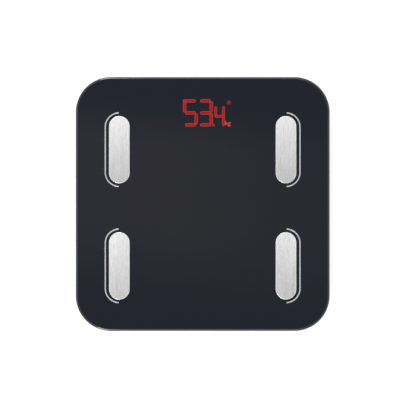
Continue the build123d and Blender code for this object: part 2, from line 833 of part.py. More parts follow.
# Contact springs, wound in quarter turns from the plate to the flat end of each cell
spring_travel = spring_space + battery_end_room - spring_wire - 2 * spring_clearance
quarter_count = 4 * spring_turns
coils = []
for row, direction in zip(battery_rows, battery_directions):
    start_x = -direction * (wall_x - contact_thickness - spring_clearance - spring_wire / 2)
    pitch_step = direction * spring_travel / quarter_count
    turns = [Vector(0, 1, 0), Vector(0, 0, 1), Vector(0, -1, 0), Vector(0, 0, -1)]
    centre = Vector(start_x, row, battery_z)
    points = [
        centre + Vector(step * pitch_step, 0, 0) + turns[step % 4] * spring_radius
        for step in range(quarter_count + 1)
    ]
    with BuildPart() as coil:
        with BuildLine() as winding:
            arc_length = spring_radius * pi / 2
            heading = Vector(pitch_step / arc_length, 0, 1)
            for begin, end in zip(points[:-1], points[1:]):
                turn = TangentArc(begin, end, tangent=heading)
                heading = turn % 1
        with BuildSketch(Plane(origin=winding.line @ 0, z_dir=winding.line % 0)):
            Circle(spring_wire / 2)
        sweep()
    coils.append(coil.part)
with BuildPart() as battery_springs:
    for coil_part in coils:
        add(coil_part)
finish(battery_springs.part, "battery_springs")

# Leads: three from each load cell, one from each electrode, two from the battery box
box_side = wall_x + box_wall
lead_end = board_y - board_depth / 2 + lead_pad_inset
for corner, (x_sign, y_sign) in corners.items():
    strands = []
    for shift in (-lead_pitch, 0, lead_pitch):
        start = foot_place + stem_end - seal_length
        if y_sign > 0:
            run = [(start, foot_place + shift), (board_half - lead_pad_inset, foot_place + shift)]
            bends = []
        else:
            lane = box_side + front_cell_lane + shift
            run = [(start, shift - foot_place), (lane, shift - foot_place), (lane, lead_end)]
            bends = [lead_bend]
        strands.append(lead_tube([(x_sign * x, y, lead_z) for x, y in run], bends))
    with BuildPart() as cell_leads:
        for strand in strands:
            add(strand)
    finish(cell_leads.part, f"{corner}_cell_leads")

strands = []
for corner, (x_sign, y_sign) in corners.items():
    x, y = electrode_places[corner]
    lane = box_side + (rear_electrode_lane if y_sign > 0 else front_electrode_lane)
    run = [
        (x, y, electrode_bottom_z),
        (x, y, lead_z),
        (x_sign * lane, y, lead_z),
        (x_sign * lane, lead_end, lead_z),
    ]
    strands.append(lead_tube(run, [lead_drop_bend, lead_bend]))
with BuildPart() as electrode_leads:
    for strand in strands:
        add(strand)
finish(electrode_leads.part, "electrode_leads")

strands = []
for x_sign, row in ((-1, battery_rows[0]), (1, battery_rows[-1])):
    start = box_side + contact_tail_length / 2
    lane = box_side + battery_lead_lane
    run = [(x_sign * start, row, lead_z), (x_sign * lane, row, lead_z), (x_sign * lane, lead_end, lead_z)]
    strands.append(lead_tube(run, [lead_tail_bend]))
with BuildPart() as battery_leads:
    for strand in strands:
        add(strand)
finish(battery_leads.part, "battery_leads")
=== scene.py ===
"""The looks of a digital bathroom scale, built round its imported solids.

Sizes in fields are in millimetres. Meshes are in metres in the solids' own frame, where +Z is up
and +Y points to the end with the display.
"""

import json
import logging
import math
from dataclasses import dataclass, field
from enum import Enum
from functools import cache, reduce
from typing import Any, NamedTuple, Sequence

import bmesh
import bpy
from mathutils import Matrix, Vector

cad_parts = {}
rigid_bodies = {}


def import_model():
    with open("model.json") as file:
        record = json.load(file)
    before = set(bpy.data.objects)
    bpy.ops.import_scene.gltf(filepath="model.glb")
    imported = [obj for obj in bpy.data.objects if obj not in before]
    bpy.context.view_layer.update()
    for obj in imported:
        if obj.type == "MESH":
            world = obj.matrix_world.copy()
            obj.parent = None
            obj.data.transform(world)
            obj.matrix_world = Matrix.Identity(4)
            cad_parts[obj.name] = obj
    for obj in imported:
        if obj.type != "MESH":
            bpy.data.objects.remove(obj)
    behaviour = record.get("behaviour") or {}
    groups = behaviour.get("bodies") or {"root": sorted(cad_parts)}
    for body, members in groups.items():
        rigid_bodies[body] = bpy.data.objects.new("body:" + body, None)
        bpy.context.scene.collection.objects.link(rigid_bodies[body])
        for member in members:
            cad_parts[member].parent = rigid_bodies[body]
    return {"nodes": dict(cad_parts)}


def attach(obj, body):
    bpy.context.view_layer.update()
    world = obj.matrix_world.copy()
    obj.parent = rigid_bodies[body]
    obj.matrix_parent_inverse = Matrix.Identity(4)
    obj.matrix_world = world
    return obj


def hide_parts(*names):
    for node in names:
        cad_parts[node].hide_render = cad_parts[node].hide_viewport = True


for leftover in list(bpy.data.objects):
    bpy.data.objects.remove(leftover)
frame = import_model()

MM = 0.001
QUARTER = math.pi / 2
BLACK = (0.0, 0.0, 0.0)
WHITE = (1.0, 1.0, 1.0)
# The Mix node's colour sockets share their names with others, so they go by number.
MIX_SHARE, MIX_FIRST, MIX_SECOND, MIX_RESULT = 0, 6, 7, 2
Pair = tuple[float, float]
Span = Pair
Triple = tuple[float, float, float]
Colour = Triple
Socket = bpy.types.NodeSocket
Node = bpy.types.Node
Tree = bpy.types.NodeTree
Outputs = bpy.types.bpy_prop_collection
Mesh = bpy.types.Mesh
Piece = bpy.types.Object
log = logging.getLogger("bathroom_scale")


class Corner(Enum):
    """The four corners, as signs along X and Y."""

    FRONT_LEFT = (-1, -1)
    FRONT_RIGHT = (1, -1)
    REAR_LEFT = (-1, 1)
    REAR_RIGHT = (1, 1)

    @property
    def word(self) -> str:
        """The corner's name as the solids use it."""
        return self.name.lower()


class Bar(Enum):
    """The bars of a digit: column from -1 to 1, row from -1 to 1, and quarter turns."""

    TOP = (0, 1, 0)
    MIDDLE = (0, 0, 0)
    BOTTOM = (0, -1, 0)
    UPPER_LEFT = (-1, 0.5, 1)
    UPPER_RIGHT = (1, 0.5, 1)
    LOWER_LEFT = (-1, -0.5, 1)
    LOWER_RIGHT = (1, -0.5, 1)


class Numeral(Enum):
    """The bars that light up for each number in the reading."""

    THREE = (Bar.TOP, Bar.UPPER_RIGHT, Bar.MIDDLE, Bar.LOWER_RIGHT, Bar.BOTTOM)
    FOUR = (Bar.UPPER_LEFT, Bar.MIDDLE, Bar.UPPER_RIGHT, Bar.LOWER_RIGHT)
    FIVE = (Bar.TOP, Bar.UPPER_LEFT, Bar.MIDDLE, Bar.LOWER_RIGHT, Bar.BOTTOM)


def emptied(owner: bpy.types.Material | bpy.types.World) -> Tree:
    """Give a material or world an empty node tree.

    Args:
        owner: The material or world.

    Returns:
        Its tree, with no nodes left.
    """
    owner.use_nodes = True
    owner.node_tree.nodes.clear()
    return owner.node_tree


class Wiring:
    """Short ways to add and join nodes in one tree."""

    def __init__(self, tree: Tree) -> None:
        """Keep the tree that nodes are added to."""
        self.tree = tree

    def fill(self, node: Node, inputs: dict) -> None:
        """Set or join inputs of a node.

        Args:
            node: The node that takes them.
            inputs: Values or output sockets, by the input's name or number.
        """
        for key, given in inputs.items():
            if isinstance(given, Socket):
                self.tree.links.new(given, node.inputs[key])
            else:
                node.inputs[key].default_value = given

    def add(self, kind: str, inputs: dict | None = None, **settings: Any) -> Node:
        """Add one node.

        Args:
            kind: The node type's identifier.
            inputs: Values or output sockets, by the input's name or number.
            settings: Properties of the node itself.

        Returns:
            The new node.
        """
        node = self.tree.nodes.new(kind)
        for key, setting in settings.items():
            setattr(node, key, setting)
        self.fill(node, inputs or {})
        return node

    def step(self, kind: str, inputs: dict | None = None, **settings: Any) -> Socket:
        """Add one node and return its first output."""
        return self.add(kind, inputs, **settings).outputs[0]

    def math(self, operation: str, *terms: Any) -> Socket:
        """The result of one arithmetic step."""
        return self.step("ShaderNodeMath", dict(enumerate(terms)), operation=operation)

    def times(self, first: Any, second: Any) -> Socket:
        """Two numbers multiplied."""
        return self.math("MULTIPLY", first, second)

    def plus(self, first: Any, second: Any) -> Socket:
        """Two numbers added."""
        return self.math("ADD", first, second)

    def minus(self, first: Any, second: Any) -> Socket:
        """The first number less the second."""
        return self.math("SUBTRACT", first, second)

    def line(self, value: Any, slope: Any, start: Any) -> Socket:
        """A value times a slope, added to a start."""
        return self.math("MULTIPLY_ADD", value, slope, start)

    def vector(self, operation: str, *terms: Any) -> Socket:
        """The result of one step on places or colours."""
        return self.step("ShaderNodeVectorMath", dict(enumerate(terms)), operation=operation)

    def spread(self, value: Any, reads: Span, gives: Span = (0.0, 1.0)) -> Socket:
        """Map a value from one range to another with soft ends.

        Args:
            value: The socket to map.
            reads: Start and end of the range that is read.
            gives: What the start and the end become.

        Returns:
            The mapped value's socket.
        """
        names = ("Value", "From Min", "From Max", "To Min", "To Max")
        inputs = dict(zip(names, (value, *reads, *gives)))
        return self.step("ShaderNodeMapRange", inputs, interpolation_type="SMOOTHSTEP")

    def blend(self, share: Any, first: Any, second: Any) -> Socket:
        """Mix two colours.

        Args:
            share: How much of the second colour shows, from 0 to 1.
            first: The colour at a share of 0.
            second: The colour at a share of 1.

        Returns:
            The mixed colour's socket.
        """
        inputs = {MIX_SHARE: share}
        for key, given in ((MIX_FIRST, first), (MIX_SECOND, second)):
            inputs[key] = given if isinstance(given, Socket) else (*given, 1.0)
        return self.add("ShaderNodeMix", inputs, data_type="RGBA").outputs[MIX_RESULT]

    def shade(self, share: Any, colour: Any) -> Socket:
        """A colour brought towards black where the share is under 1."""
        return self.blend(share, BLACK, colour)

    def noise(self, place: Any, scale: Any, detail: float = 2.0, roughness: float = 0.5) -> Socket:
        """Cloudy noise from 0 to 1 at a place."""
        inputs = {"Vector": place, "Scale": scale, "Detail": detail, "Roughness": roughness}
        return self.step("ShaderNodeTexNoise", inputs)


class Group(Wiring):
    """A node group with named sockets."""

    def __init__(self, name: str, takes: dict, gives: dict, kind: str = "ShaderNodeTree") -> None:
        """Start the group.

        Args:
            name: The group's name.
            takes: Socket types of the inputs, by name.
            gives: Socket types of the outputs, by name.
            kind: The tree type's identifier.
        """
        super().__init__(bpy.data.node_groups.new(name, kind))
        for way, sockets in (("INPUT", takes), ("OUTPUT", gives)):
            for label, socket in sockets.items():
                self.tree.interface.new_socket(label, in_out=way, socket_type="NodeSocket" + socket)
        self.take = self.add("NodeGroupInput").outputs
        self.result = self.add("NodeGroupOutput")

    def close(self, outputs: dict[str, Socket]) -> Tree:
        """Join the group's outputs and return its tree."""
        self.fill(self.result, outputs)
        return self.tree


class ShapeGroup(Group):
    """A geometry tree that ends in one plain mesh with one finish."""

    def __init__(self, name: str, sizes: dict[str, float | int]) -> None:
        """Start the tree with a seed shape, named sizes and a finish.

        Args:
            name: The tree's name.
            sizes: The sizes that it is given, by name.
        """
        shape = {"Geometry": "Geometry"}
        kinds = {label: "Int" if isinstance(size, int) else "Float" for label, size in sizes.items()}
        super().__init__(name, {**shape, **kinds, "Finish": "Material"}, shape, "GeometryNodeTree")

    def named(self, name: str, kind: str = "FLOAT") -> Socket:
        """A value that the points carry under a name."""
        return self.step("GeometryNodeInputNamedAttribute", {"Name": name}, data_type=kind)

    def store(self, shape: Socket, name: str, value: Socket, kind: str = "FLOAT") -> Socket:
        """The shape with a named value kept on its points."""
        inputs = {"Geometry": shape, "Name": name, "Value": value}
        return self.step("GeometryNodeStoreNamedAttribute", inputs, data_type=kind)

    def end(self, shape: Socket) -> Tree:
        """Make the shape real and put the finish on it.

        Args:
            shape: What the tree has made.

        Returns:
            The finished tree.
        """
        real = self.step("GeometryNodeRealizeInstances", {"Geometry": shape})
        worn = self.step("GeometryNodeSetMaterial", {"Geometry": real, "Material": self.take["Finish"]})
        return self.close({"Geometry": worn})


class Effects:
    """Surface effects that several finishes share, each built once."""

    @staticmethod
    @cache
    def moulded_grain() -> Tree:
        """Fine spark-eroded grain with broad unevenness of tone.

        Returns:
            The group, which gives the grain's height and the tone.
        """
        group = Group(
            "moulded_grain",
            {"Place": "Vector", "Fineness": "Float", "Unevenness": "Float"},
            {"Height": "Float", "Tone": "Float"},
        )
        place, fineness = group.take["Place"], group.take["Fineness"]
        pit_share = fuzz_share = fuzz_scale = 0.6
        pits = group.step("ShaderNodeTexVoronoi", {"Vector": place, "Scale": fineness})
        fuzz = group.noise(place, group.times(fineness, fuzz_scale), detail=3.0)
        height = group.plus(group.times(pits, pit_share), group.times(fuzz, fuzz_share))
        cloud = group.minus(group.noise(place, scale=34.0, detail=4.0, roughness=0.6), 0.5)
        return group.close({"Height": height, "Tone": group.line(cloud, group.take["Unevenness"], 1.0)})

    @staticmethod
    @cache
    def brush_marks() -> Tree:
        """Scratches drawn one way, with mottled flecks and long hairlines between them.

        Returns:
            The group, which gives each kind of mark as noise from 0 to 1.
        """
        group = Group(
            "brush_marks",
            {"Place": "Vector", "Stretch": "Vector"},
            {"Streak": "Float", "Fleck": "Float", "Hairline": "Float"},
        )
        drawn = group.vector("MULTIPLY", group.take["Place"], group.take["Stretch"])
        short = group.vector("MULTIPLY", drawn, (0.45, 2.6, 0.45))
        long = group.vector("MULTIPLY", drawn, (5.0, 0.2, 5.0))
        return group.close({
            "Streak": group.noise(drawn, scale=1.0, detail=5.0, roughness=0.7),
            "Fleck": group.noise(short, scale=1.0, detail=3.0, roughness=0.6),
            "Hairline": group.noise(long, scale=1.0, detail=2.0, roughness=0.6),
        })

    @staticmethod
    @cache
    def handling() -> Tree:
        """Smears left by hands and cloths, and settled dust.

        Returns:
            The group, which gives both as shares from 0 to 1.
        """
        group = Group(
            "handling",
            {"Place": "Vector", "Smear scale": "Float", "Dust scale": "Float"},
            {"Smear": "Float", "Dust": "Float"},
        )
        place = group.take["Place"]
        swept = group.vector("MULTIPLY", place, (1.0, 0.55, 1.0))
        wiped = group.noise(swept, group.take["Smear scale"], detail=5.0, roughness=0.62)
        specks = group.step("ShaderNodeTexVoronoi", {"Vector": place, "Scale": group.take["Dust scale"]})
        settled = group.noise(place, scale=22.0)
        return group.close({
            "Smear": group.spread(wiped, reads=(0.42, 0.72)),
            "Dust": group.times(group.spread(specks, reads=(0.05, 0.16), gives=(1.0, 0.0)), settled),
        })


class Surface(Wiring):
    """The nodes of one material, round its shader."""

    def __init__(self, material: bpy.types.Material) -> None:
        """Start the material with its shader and the place on the piece.

        Args:
            material: The material to wire.
        """
        super().__init__(emptied(material))
        self.shader = self.add("ShaderNodeBsdfPrincipled")
        self.add("ShaderNodeOutputMaterial", {"Surface": self.shader.outputs[0]})
        self.place = self.add("ShaderNodeTexCoord").outputs["Object"]

    def attribute(self, name: str) -> Socket:
        """A value that the mesh carries under a name."""
        return self.add("ShaderNodeAttribute", attribute_name=name).outputs["Fac"]

    def effect(self, tree: Tree, inputs: dict) -> Outputs:
        """Put in a shared effect at this surface's place and return its outputs."""
        return self.add("ShaderNodeGroup", {"Place": self.place, **inputs}, node_tree=tree).outputs

    def grain(self, unevenness: float, fineness: float = 0.0) -> Outputs:
        """Moulded grain's height and tone, where the tone alone needs no fineness."""
        return self.effect(Effects.moulded_grain(), {"Unevenness": unevenness, "Fineness": fineness})

    def brushing(self, stretch: Triple) -> Outputs:
        """Streaks, flecks and hairlines drawn one way."""
        return self.effect(Effects.brush_marks(), {"Stretch": stretch})

    def handling(self, smears: float, dust: float = 0.0) -> Outputs:
        """Smears and dust at these scales, where smears alone need no scale for dust."""
        return self.effect(Effects.handling(), {"Smear scale": smears, "Dust scale": dust})

    def bump(self, height: Socket, relief: float, strength: float) -> Socket:
        """A normal turned by a height, with its relief in millimetres."""
        inputs = {"Height": height, "Distance": relief * MM, "Strength": strength}
        return self.step("ShaderNodeBump", inputs)

    def finish(self, **sockets: Any) -> None:
        """Set or join the shader's sockets, named with underscores for spaces."""
        self.fill(self.shader, {key.replace("_", " "): given for key, given in sockets.items()})


@dataclass(frozen=True)
class Finish:
    """A named surface finish."""

    name: str

    def material(self) -> bpy.types.Material:
        """The finish as a material, made on first use.

        Returns:
            The material with this finish's nodes.
        """
        made = bpy.data.materials.get(self.name)
        if made is None:
            made = bpy.data.materials.new(self.name)
            self.wire(Surface(made))
        return made

    def wire(self, surface: Surface) -> None:
        """Wire this finish's own nodes to the surface's shader."""
        raise NotImplementedError


@dataclass(frozen=True)
class GlassSkin(Finish):
    """What the bare glass and the print under it share."""

    ior: float = 1.5
    smears: float = 26.0
    smear_dulling: float = 0.035


@dataclass(frozen=True)
class DarkGlass(GlassSkin):
    """Polished glass painted dark on its back, with a ground edge that the mesh's rim value marks."""

    face: Colour = (0.0043, 0.0060, 0.0124)
    edge: Colour = (0.130, 0.134, 0.134)
    dust: Colour = (0.16, 0.16, 0.16)
    dust_scale: float = 420.0
    dust_share: float = 0.05
    roughness: float = 0.015
    edge_dulling: float = 0.16
    edge_fineness: float = 3800.0
    edge_unevenness: float = 0.25
    edge_relief: float = 0.012
    edge_strength: float = 0.5

    def wire(self, surface: Surface) -> None:
        """Wire the painted face, the ground edge and faint smears.

        Args:
            surface: The material's nodes.
        """
        rim = surface.attribute("rim")
        marks = surface.handling(self.smears, self.dust_scale)
        ground = surface.grain(self.edge_unevenness, self.edge_fineness)
        dusty = surface.blend(surface.times(marks["Dust"], self.dust_share), self.face, self.dust)
        satin = surface.shade(ground["Tone"], self.edge)
        smeared = surface.line(marks["Smear"], self.smear_dulling, self.roughness)
        relief = surface.times(ground["Height"], rim)
        surface.finish(
            Base_Color=surface.blend(rim, dusty, satin),
            Roughness=surface.line(rim, self.edge_dulling, smeared),
            Normal=surface.bump(relief, self.edge_relief, self.edge_strength),
            IOR=self.ior,
        )


@dataclass(frozen=True)
class ScreenPrint(GlassSkin):
    """Pale ink printed under the glass, so it shares the glass's gloss."""

    ink: Colour = (0.43, 0.43, 0.45)
    roughness: float = 0.02
    mesh_fineness: float = 5200.0
    mesh_unevenness: float = 0.12
    mesh_reads: Span = (0.2, 0.9)
    mesh_gives: Span = (0.94, 1.02)

    def wire(self, surface: Surface) -> None:
        """Wire ink with the faint mesh marks of its screen.

        Args:
            surface: The material's nodes.
        """
        screen = surface.grain(self.mesh_unevenness, self.mesh_fineness)
        marked = surface.spread(screen["Height"], self.mesh_reads, self.mesh_gives)
        smear = surface.handling(self.smears)["Smear"]
        surface.finish(
            Base_Color=surface.shade(surface.times(marked, screen["Tone"]), self.ink),
            Roughness=surface.line(smear, self.smear_dulling, self.roughness),
            IOR=self.ior,
        )


@dataclass(frozen=True)
class LitBar(Finish):
    """A bar of the display, lit from behind through a diffusing film, with a paler edge."""

    core: Colour = (0.45, 0.0025, 0.0045)
    halo: Colour = (0.33, 0.10, 0.088)
    unlit: Colour = (0.006, 0.003, 0.004)
    edge_power: float = 1.6
    cloud_scale: float = 210.0
    cloud_detail: float = 3.0
    cloud_reads: Span = (0.3, 0.7)
    cloud_gives: Span = (0.93, 1.04)
    roughness: float = 0.03
    mirror: float = 0.15

    def wire(self, surface: Surface) -> None:
        """Wire light that fades to the halo colour at the bar's edge.

        Args:
            surface: The material's nodes.
        """
        edge = surface.math("POWER", surface.attribute("edge"), self.edge_power)
        glow = surface.blend(edge, self.core, self.halo)
        cloud = surface.noise(surface.place, self.cloud_scale, self.cloud_detail)
        uneven = surface.spread(cloud, self.cloud_reads, self.cloud_gives)
        surface.finish(
            Base_Color=(*self.unlit, 1.0),
            Emission_Color=surface.shade(uneven, glow),
            Emission_Strength=1.0,
            Roughness=self.roughness,
            Specular_IOR_Level=self.mirror,
        )


@dataclass(frozen=True)
class BrushedSteel(Finish):
    """Brushed stainless steel with a painted sheen that makes each plate lighter towards its rear end, and
    polished edges marked by the mesh's lip value, whose paler colour is partly a painted highlight.
    """

    # Painted sheen: the colour runs from the darker front colour to the lighter rear colour along each
    # plate, in place of light reflected along it.
    front: Colour = (0.549, 0.543, 0.551)
    rear: Colour = (0.836, 0.834, 0.840)
    # Lip colour: paler than the steel, partly polish and partly a painted highlight along the plate's edge.
    lip: Colour = (0.96, 0.96, 0.96)
    stretch: Triple = (950.0, 160.0, 950.0)
    tones: tuple[tuple[str, Span, Span], ...] = (
        ("Streak", (0.25, 0.75), (0.86, 1.06)),
        ("Fleck", (0.25, 0.75), (0.93, 1.04)),
        ("Hairline", (0.28, 0.72), (0.86, 1.12)),
    )
    roughness: float = 0.30
    streak_dulling: float = 0.16
    lip_polish: float = -0.2
    relief: float = 0.006
    strength: float = 0.35

    def wire(self, surface: Surface) -> None:
        """Wire brush marks, flecks, the painted sheen along the plate and the lip's painted highlight.

        Args:
            surface: The material's nodes.
        """
        marks = surface.brushing(self.stretch)
        lip = surface.attribute("lip")
        # Painted sheen: the colour is blended from the front colour to the rear colour by the mesh's along
        # value.
        painted_sheen_ramp = surface.blend(surface.attribute("along"), self.front, self.rear)
        shades = [surface.spread(marks[label], reads, gives) for label, reads, gives in self.tones]
        brushed = surface.shade(reduce(surface.times, shades), painted_sheen_ramp)
        dull = surface.line(marks["Streak"], self.streak_dulling, self.roughness)
        scratches = surface.plus(marks["Streak"], marks["Hairline"])
        surface.finish(
            # Partly painted highlight: the lip is blended towards the near-white lip colour.
            Base_Color=surface.blend(lip, brushed, self.lip),
            Metallic=1.0,
            Roughness=surface.times(dull, surface.line(lip, self.lip_polish, 1.0)),
            Normal=surface.bump(scratches, self.relief, self.strength),
        )


@dataclass(frozen=True)
class Moulding(Finish):
    """Moulded plastic with a fine grain, scuffs and a little dust."""

    colour: Colour = (0.018, 0.018, 0.020)
    fineness: float = 2400.0
    relief: float = 0.02
    roughness: float = 0.46
    dust: float = 0.10
    bloom: float = 0.0
    unevenness: float = 0.5
    strength: float = 0.6
    smears: float = 60.0
    dust_scale: float = 900.0
    dust_fade: float = 0.75
    dust_lift: float = 0.12
    unwiped: float = 0.06
    wiping: float = -0.10
    pore_dulling: float = 0.0

    def wire(self, surface: Surface) -> None:
        """Wire grain, uneven tone, scuffs and dust.

        Args:
            surface: The material's nodes.
        """
        grain = surface.grain(self.unevenness, self.fineness)
        marks = surface.handling(self.smears, self.dust_scale)
        toned = surface.shade(grain["Tone"], self.colour)
        dusty = tuple(self.dust_fade * part + self.dust_lift for part in self.colour)
        share = surface.line(marks["Dust"], self.dust, surface.times(marks["Smear"], self.bloom))
        wiped = surface.line(marks["Smear"], self.wiping, self.roughness + self.unwiped)
        surface.finish(
            Base_Color=surface.blend(share, toned, dusty),
            Roughness=surface.line(grain["Height"], self.pore_dulling, wiped),
            Normal=surface.bump(grain["Height"], self.relief, self.strength),
        )


@dataclass(frozen=True)
class SoftRubber(Moulding):
    """Soft matt rubber or foam with open pores and a dusty bloom."""

    colour: Colour = (0.035, 0.035, 0.037)
    fineness: float = 1300.0
    relief: float = 0.05
    roughness: float = 0.68
    dust: float = 0.3
    bloom: float = 0.18
    unevenness: float = 0.7
    strength: float = 0.5
    smears: float = 90.0
    dust_scale: float = 700.0
    dust_fade: float = 0.8
    dust_lift: float = 0.07
    unwiped: float = 0.0
    wiping: float = 0.0
    pore_dulling: float = 0.15


@dataclass(frozen=True)
class PlatedMetal(Finish):
    """Plated metal with drawn marks and a patchy tarnish."""

    colour: Colour = (0.60, 0.60, 0.60)
    tarnish: Colour = (0.42, 0.40, 0.37)
    stretch: Triple = (900.0, 120.0, 900.0)
    unevenness: float = 1.0
    patch_reads: Span = (0.85, 1.25)
    patch_gives: Span = (0.0, 0.7)
    roughness: float = 0.24
    mark_dulling: float = 0.2
    relief: float = 0.005
    strength: float = 0.3

    def wire(self, surface: Surface) -> None:
        """Wire drawn marks and tarnish.

        Args:
            surface: The material's nodes.
        """
        streak = surface.brushing(self.stretch)["Streak"]
        patch = surface.spread(surface.grain(self.unevenness)["Tone"], self.patch_reads, self.patch_gives)
        surface.finish(
            Base_Color=surface.blend(patch, self.colour, self.tarnish),
            Metallic=1.0,
            Roughness=surface.line(streak, self.mark_dulling, self.roughness),
            Normal=surface.bump(streak, self.relief, self.strength),
        )


@dataclass(frozen=True)
class SolderMask(Finish):
    """Glass-fibre laminate under solder mask, with copper tracks that show as paler bands."""

    mask: Colour = (0.010, 0.085, 0.030)
    track: Colour = (0.025, 0.160, 0.060)
    track_scale: float = 60.0
    track_length: float = 1.4
    track_pitch: float = 0.18
    track_width: float = 0.05
    track_share: float = 0.8
    weave_stretch: Triple = (2500.0, 900.0, 900.0)
    weave_relief: float = 0.2
    weave_dulling: float = 0.15
    roughness: float = 0.22
    relief: float = 0.02
    strength: float = 0.5

    def wire(self, surface: Surface) -> None:
        """Wire tracks and the weave of the laminate.

        Args:
            surface: The material's nodes.
        """
        tracks = surface.add("ShaderNodeTexBrick", {
            "Vector": surface.vector("MULTIPLY", surface.place, (1.0, 1.0, 0.0)),
            "Scale": self.track_scale, "Mortar Size": self.track_width,
            "Brick Width": self.track_length, "Row Height": self.track_pitch,
        }).outputs["Fac"]
        weave = surface.noise(surface.vector("MULTIPLY", surface.place, self.weave_stretch), scale=1.0)
        height = surface.plus(tracks, surface.times(weave, self.weave_relief))
        surface.finish(
            Base_Color=surface.blend(surface.times(tracks, self.track_share), self.mask, self.track),
            Roughness=surface.line(weave, self.weave_dulling, self.roughness),
            Normal=surface.bump(height, self.relief, self.strength),
        )


@dataclass(frozen=True)
class Jacket(Finish):
    """Smooth plastic skin of a lead, a film or a cell, with wiped gloss and a mottled tone."""

    colour: Colour = (0.35, 0.04, 0.04)
    mottle: Colour = (0.24, 0.03, 0.03)
    metallic: float = 0.0
    smears: float = 140.0
    unevenness: float = 0.4
    fineness: float = 3000.0
    roughness: float = 0.26
    smear_dulling: float = 0.18
    relief: float = 0.006
    strength: float = 0.4

    def wire(self, surface: Surface) -> None:
        """Wire a mottled skin and smears.

        Args:
            surface: The material's nodes.
        """
        smear = surface.handling(self.smears)["Smear"]
        grain = surface.grain(self.unevenness, self.fineness)
        surface.finish(
            Base_Color=surface.shade(grain["Tone"], surface.blend(smear, self.colour, self.mottle)),
            Metallic=self.metallic,
            Roughness=surface.line(smear, self.smear_dulling, self.roughness),
            Normal=surface.bump(grain["Height"], self.relief, self.strength),
        )


def make_object(name: str, contents: bpy.types.ID) -> Piece:
    """Put a mesh, text, lamp or camera into the scene as an object at the origin.

    Args:
        name: The object's name.
        contents: What it shows, already in place.

    Returns:
        The new object.
    """
    made = bpy.data.objects.new(name, contents)
    bpy.context.scene.collection.objects.link(made)
    return made


def make_mesh(name: str, points: Sequence[Vector], faces: Sequence = (), **values: list[float]) -> Mesh:
    """Make a mesh from points and faces.

    Args:
        name: The mesh's name.
        points: Its points in millimetres.
        faces: Each face as the numbers of its points.
        values: Named values for each point.

    Returns:
        The new mesh, in metres.
    """
    mesh = bpy.data.meshes.new(name)
    mesh.from_pydata([point * MM for point in points], [], faces)
    for label, numbers in values.items():
        mesh.attributes.new(label, "FLOAT", "POINT").data.foreach_set("value", numbers)
    return mesh


def plain_mesh(piece: Piece) -> Mesh:
    """The mesh that an object shows, with nothing left to work out."""
    graph = bpy.context.evaluated_depsgraph_get()
    return bpy.data.meshes.new_from_object(piece.evaluated_get(graph))


def put_on(mesh: Mesh, material: bpy.types.Material) -> None:
    """Leave one material on the whole mesh."""
    mesh.materials.clear()
    mesh.materials.append(material)


def seat(piece: Piece, body: str, slot: str, *nodes: str) -> None:
    """Set a piece on its body and report it.

    Args:
        piece: The finished object.
        body: The body it moves with.
        slot: The name of a material slot in the record; not used.
        nodes: The solids that it stands for.
    """
    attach(piece, body)
    if nodes:
        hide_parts(*nodes)
    log.info("%s: %d faces on %s", piece.name, len(piece.data.polygons), body)


def wear(node: str, finish: Finish) -> None:
    """Put a finish on a solid that stays in view, and report it.

    Args:
        node: The solid's name.
        finish: What it gets.
    """
    solid = frame["nodes"][node]
    material = finish.material()
    if not solid.material_slots:
        solid.data.materials.append(material)
    for holder in solid.material_slots:
        holder.material = material
    log.info("%s: %s", node, material.name)


def rounded_square(half: float, radius: float, height: float, steps: int) -> list[Vector]:
    """Points of a level rounded square, counted anticlockwise.

    Args:
        half: Half of the side.
        radius: Radius of the corners.
        height: Height of the ring.
        steps: Steps in each corner.

    Returns:
        The ring's points in millimetres.
    """
    ring = []
    for quarter, (x_sign, y_sign) in enumerate(((1, 1), (-1, 1), (-1, -1), (1, -1))):
        centre = Vector((x_sign * (half - radius), y_sign * (half - radius), height))
        for step in range(steps + 1):
            angle = QUARTER * (quarter + step / steps)
            ring.append(centre + radius * Vector((math.cos(angle), math.sin(angle), 0)))
    return ring


def stadium(straight: float, radius: float, centre: Vector, steps: int) -> list[Vector]:
    """Points of a level upright stadium, counted anticlockwise.

    Args:
        straight: Half of the straight sides' length.
        radius: Radius of the ends.
        centre: Middle of the ring, with its height.
        steps: Steps in each half turn.

    Returns:
        The ring's points in millimetres.
    """
    ring = []
    for half, sign in ((0, 1), (1, -1)):
        for step in range(steps + 1):
            angle = math.pi * (half + step / steps)
            shift = Vector((radius * math.cos(angle), sign * straight + radius * math.sin(angle), 0))
            ring.append(centre + shift)
    return ring


def loft(name: str, rings: Sequence[Sequence[Vector]], finish: Finish, **values: list[float]) -> Piece:
    """Join level rings into a smooth closed skin.

    Args:
        name: The object's name.
        rings: Rings with equally many points, from the bottom inwards and up to the top.
        finish: What the skin gets.
        values: Named values for each point, in the rings' order.

    Returns:
        The new object.
    """
    count = len(rings[0])
    points = [point for ring in rings for point in ring]
    faces = [list(reversed(range(count)))]
    for low in range(0, len(points) - count, count):
        high = low + count
        for step in range(count):
            after = (step + 1) % count
            faces.append([low + step, low + after, high + after, high + step])
    faces.append(list(range(len(points) - count, len(points))))
    mesh = make_mesh(name, points, faces, **values)
    mesh.shade_smooth()
    put_on(mesh, finish.material())
    return make_object(name, mesh)


def grow(name: str, mesh: Mesh, tree: Tree, sizes: dict[str, float | int], finish: Finish) -> Piece:
    """Run a geometry tree on a seed mesh and keep the result as a plain mesh.

    Args:
        name: The finished object's name.
        mesh: The seed mesh.
        tree: The geometry tree.
        sizes: Values for the tree's named sizes.
        finish: What the piece gets.

    Returns:
        The finished object, with no modifier left.
    """
    inputs = {**sizes, "Finish": finish.material()}
    piece = make_object(name, mesh)
    modifier = piece.modifiers.new("grow", "NODES")
    modifier.node_group = tree
    for item in tree.interface.items_tree:
        if item.in_out == "INPUT" and item.name in inputs:
            modifier[item.identifier] = inputs[item.name]
    grown = plain_mesh(piece)
    piece.modifiers.remove(modifier)
    piece.data = grown
    bpy.data.meshes.remove(mesh)
    grown.name = name
    put_on(grown, inputs["Finish"])
    return piece


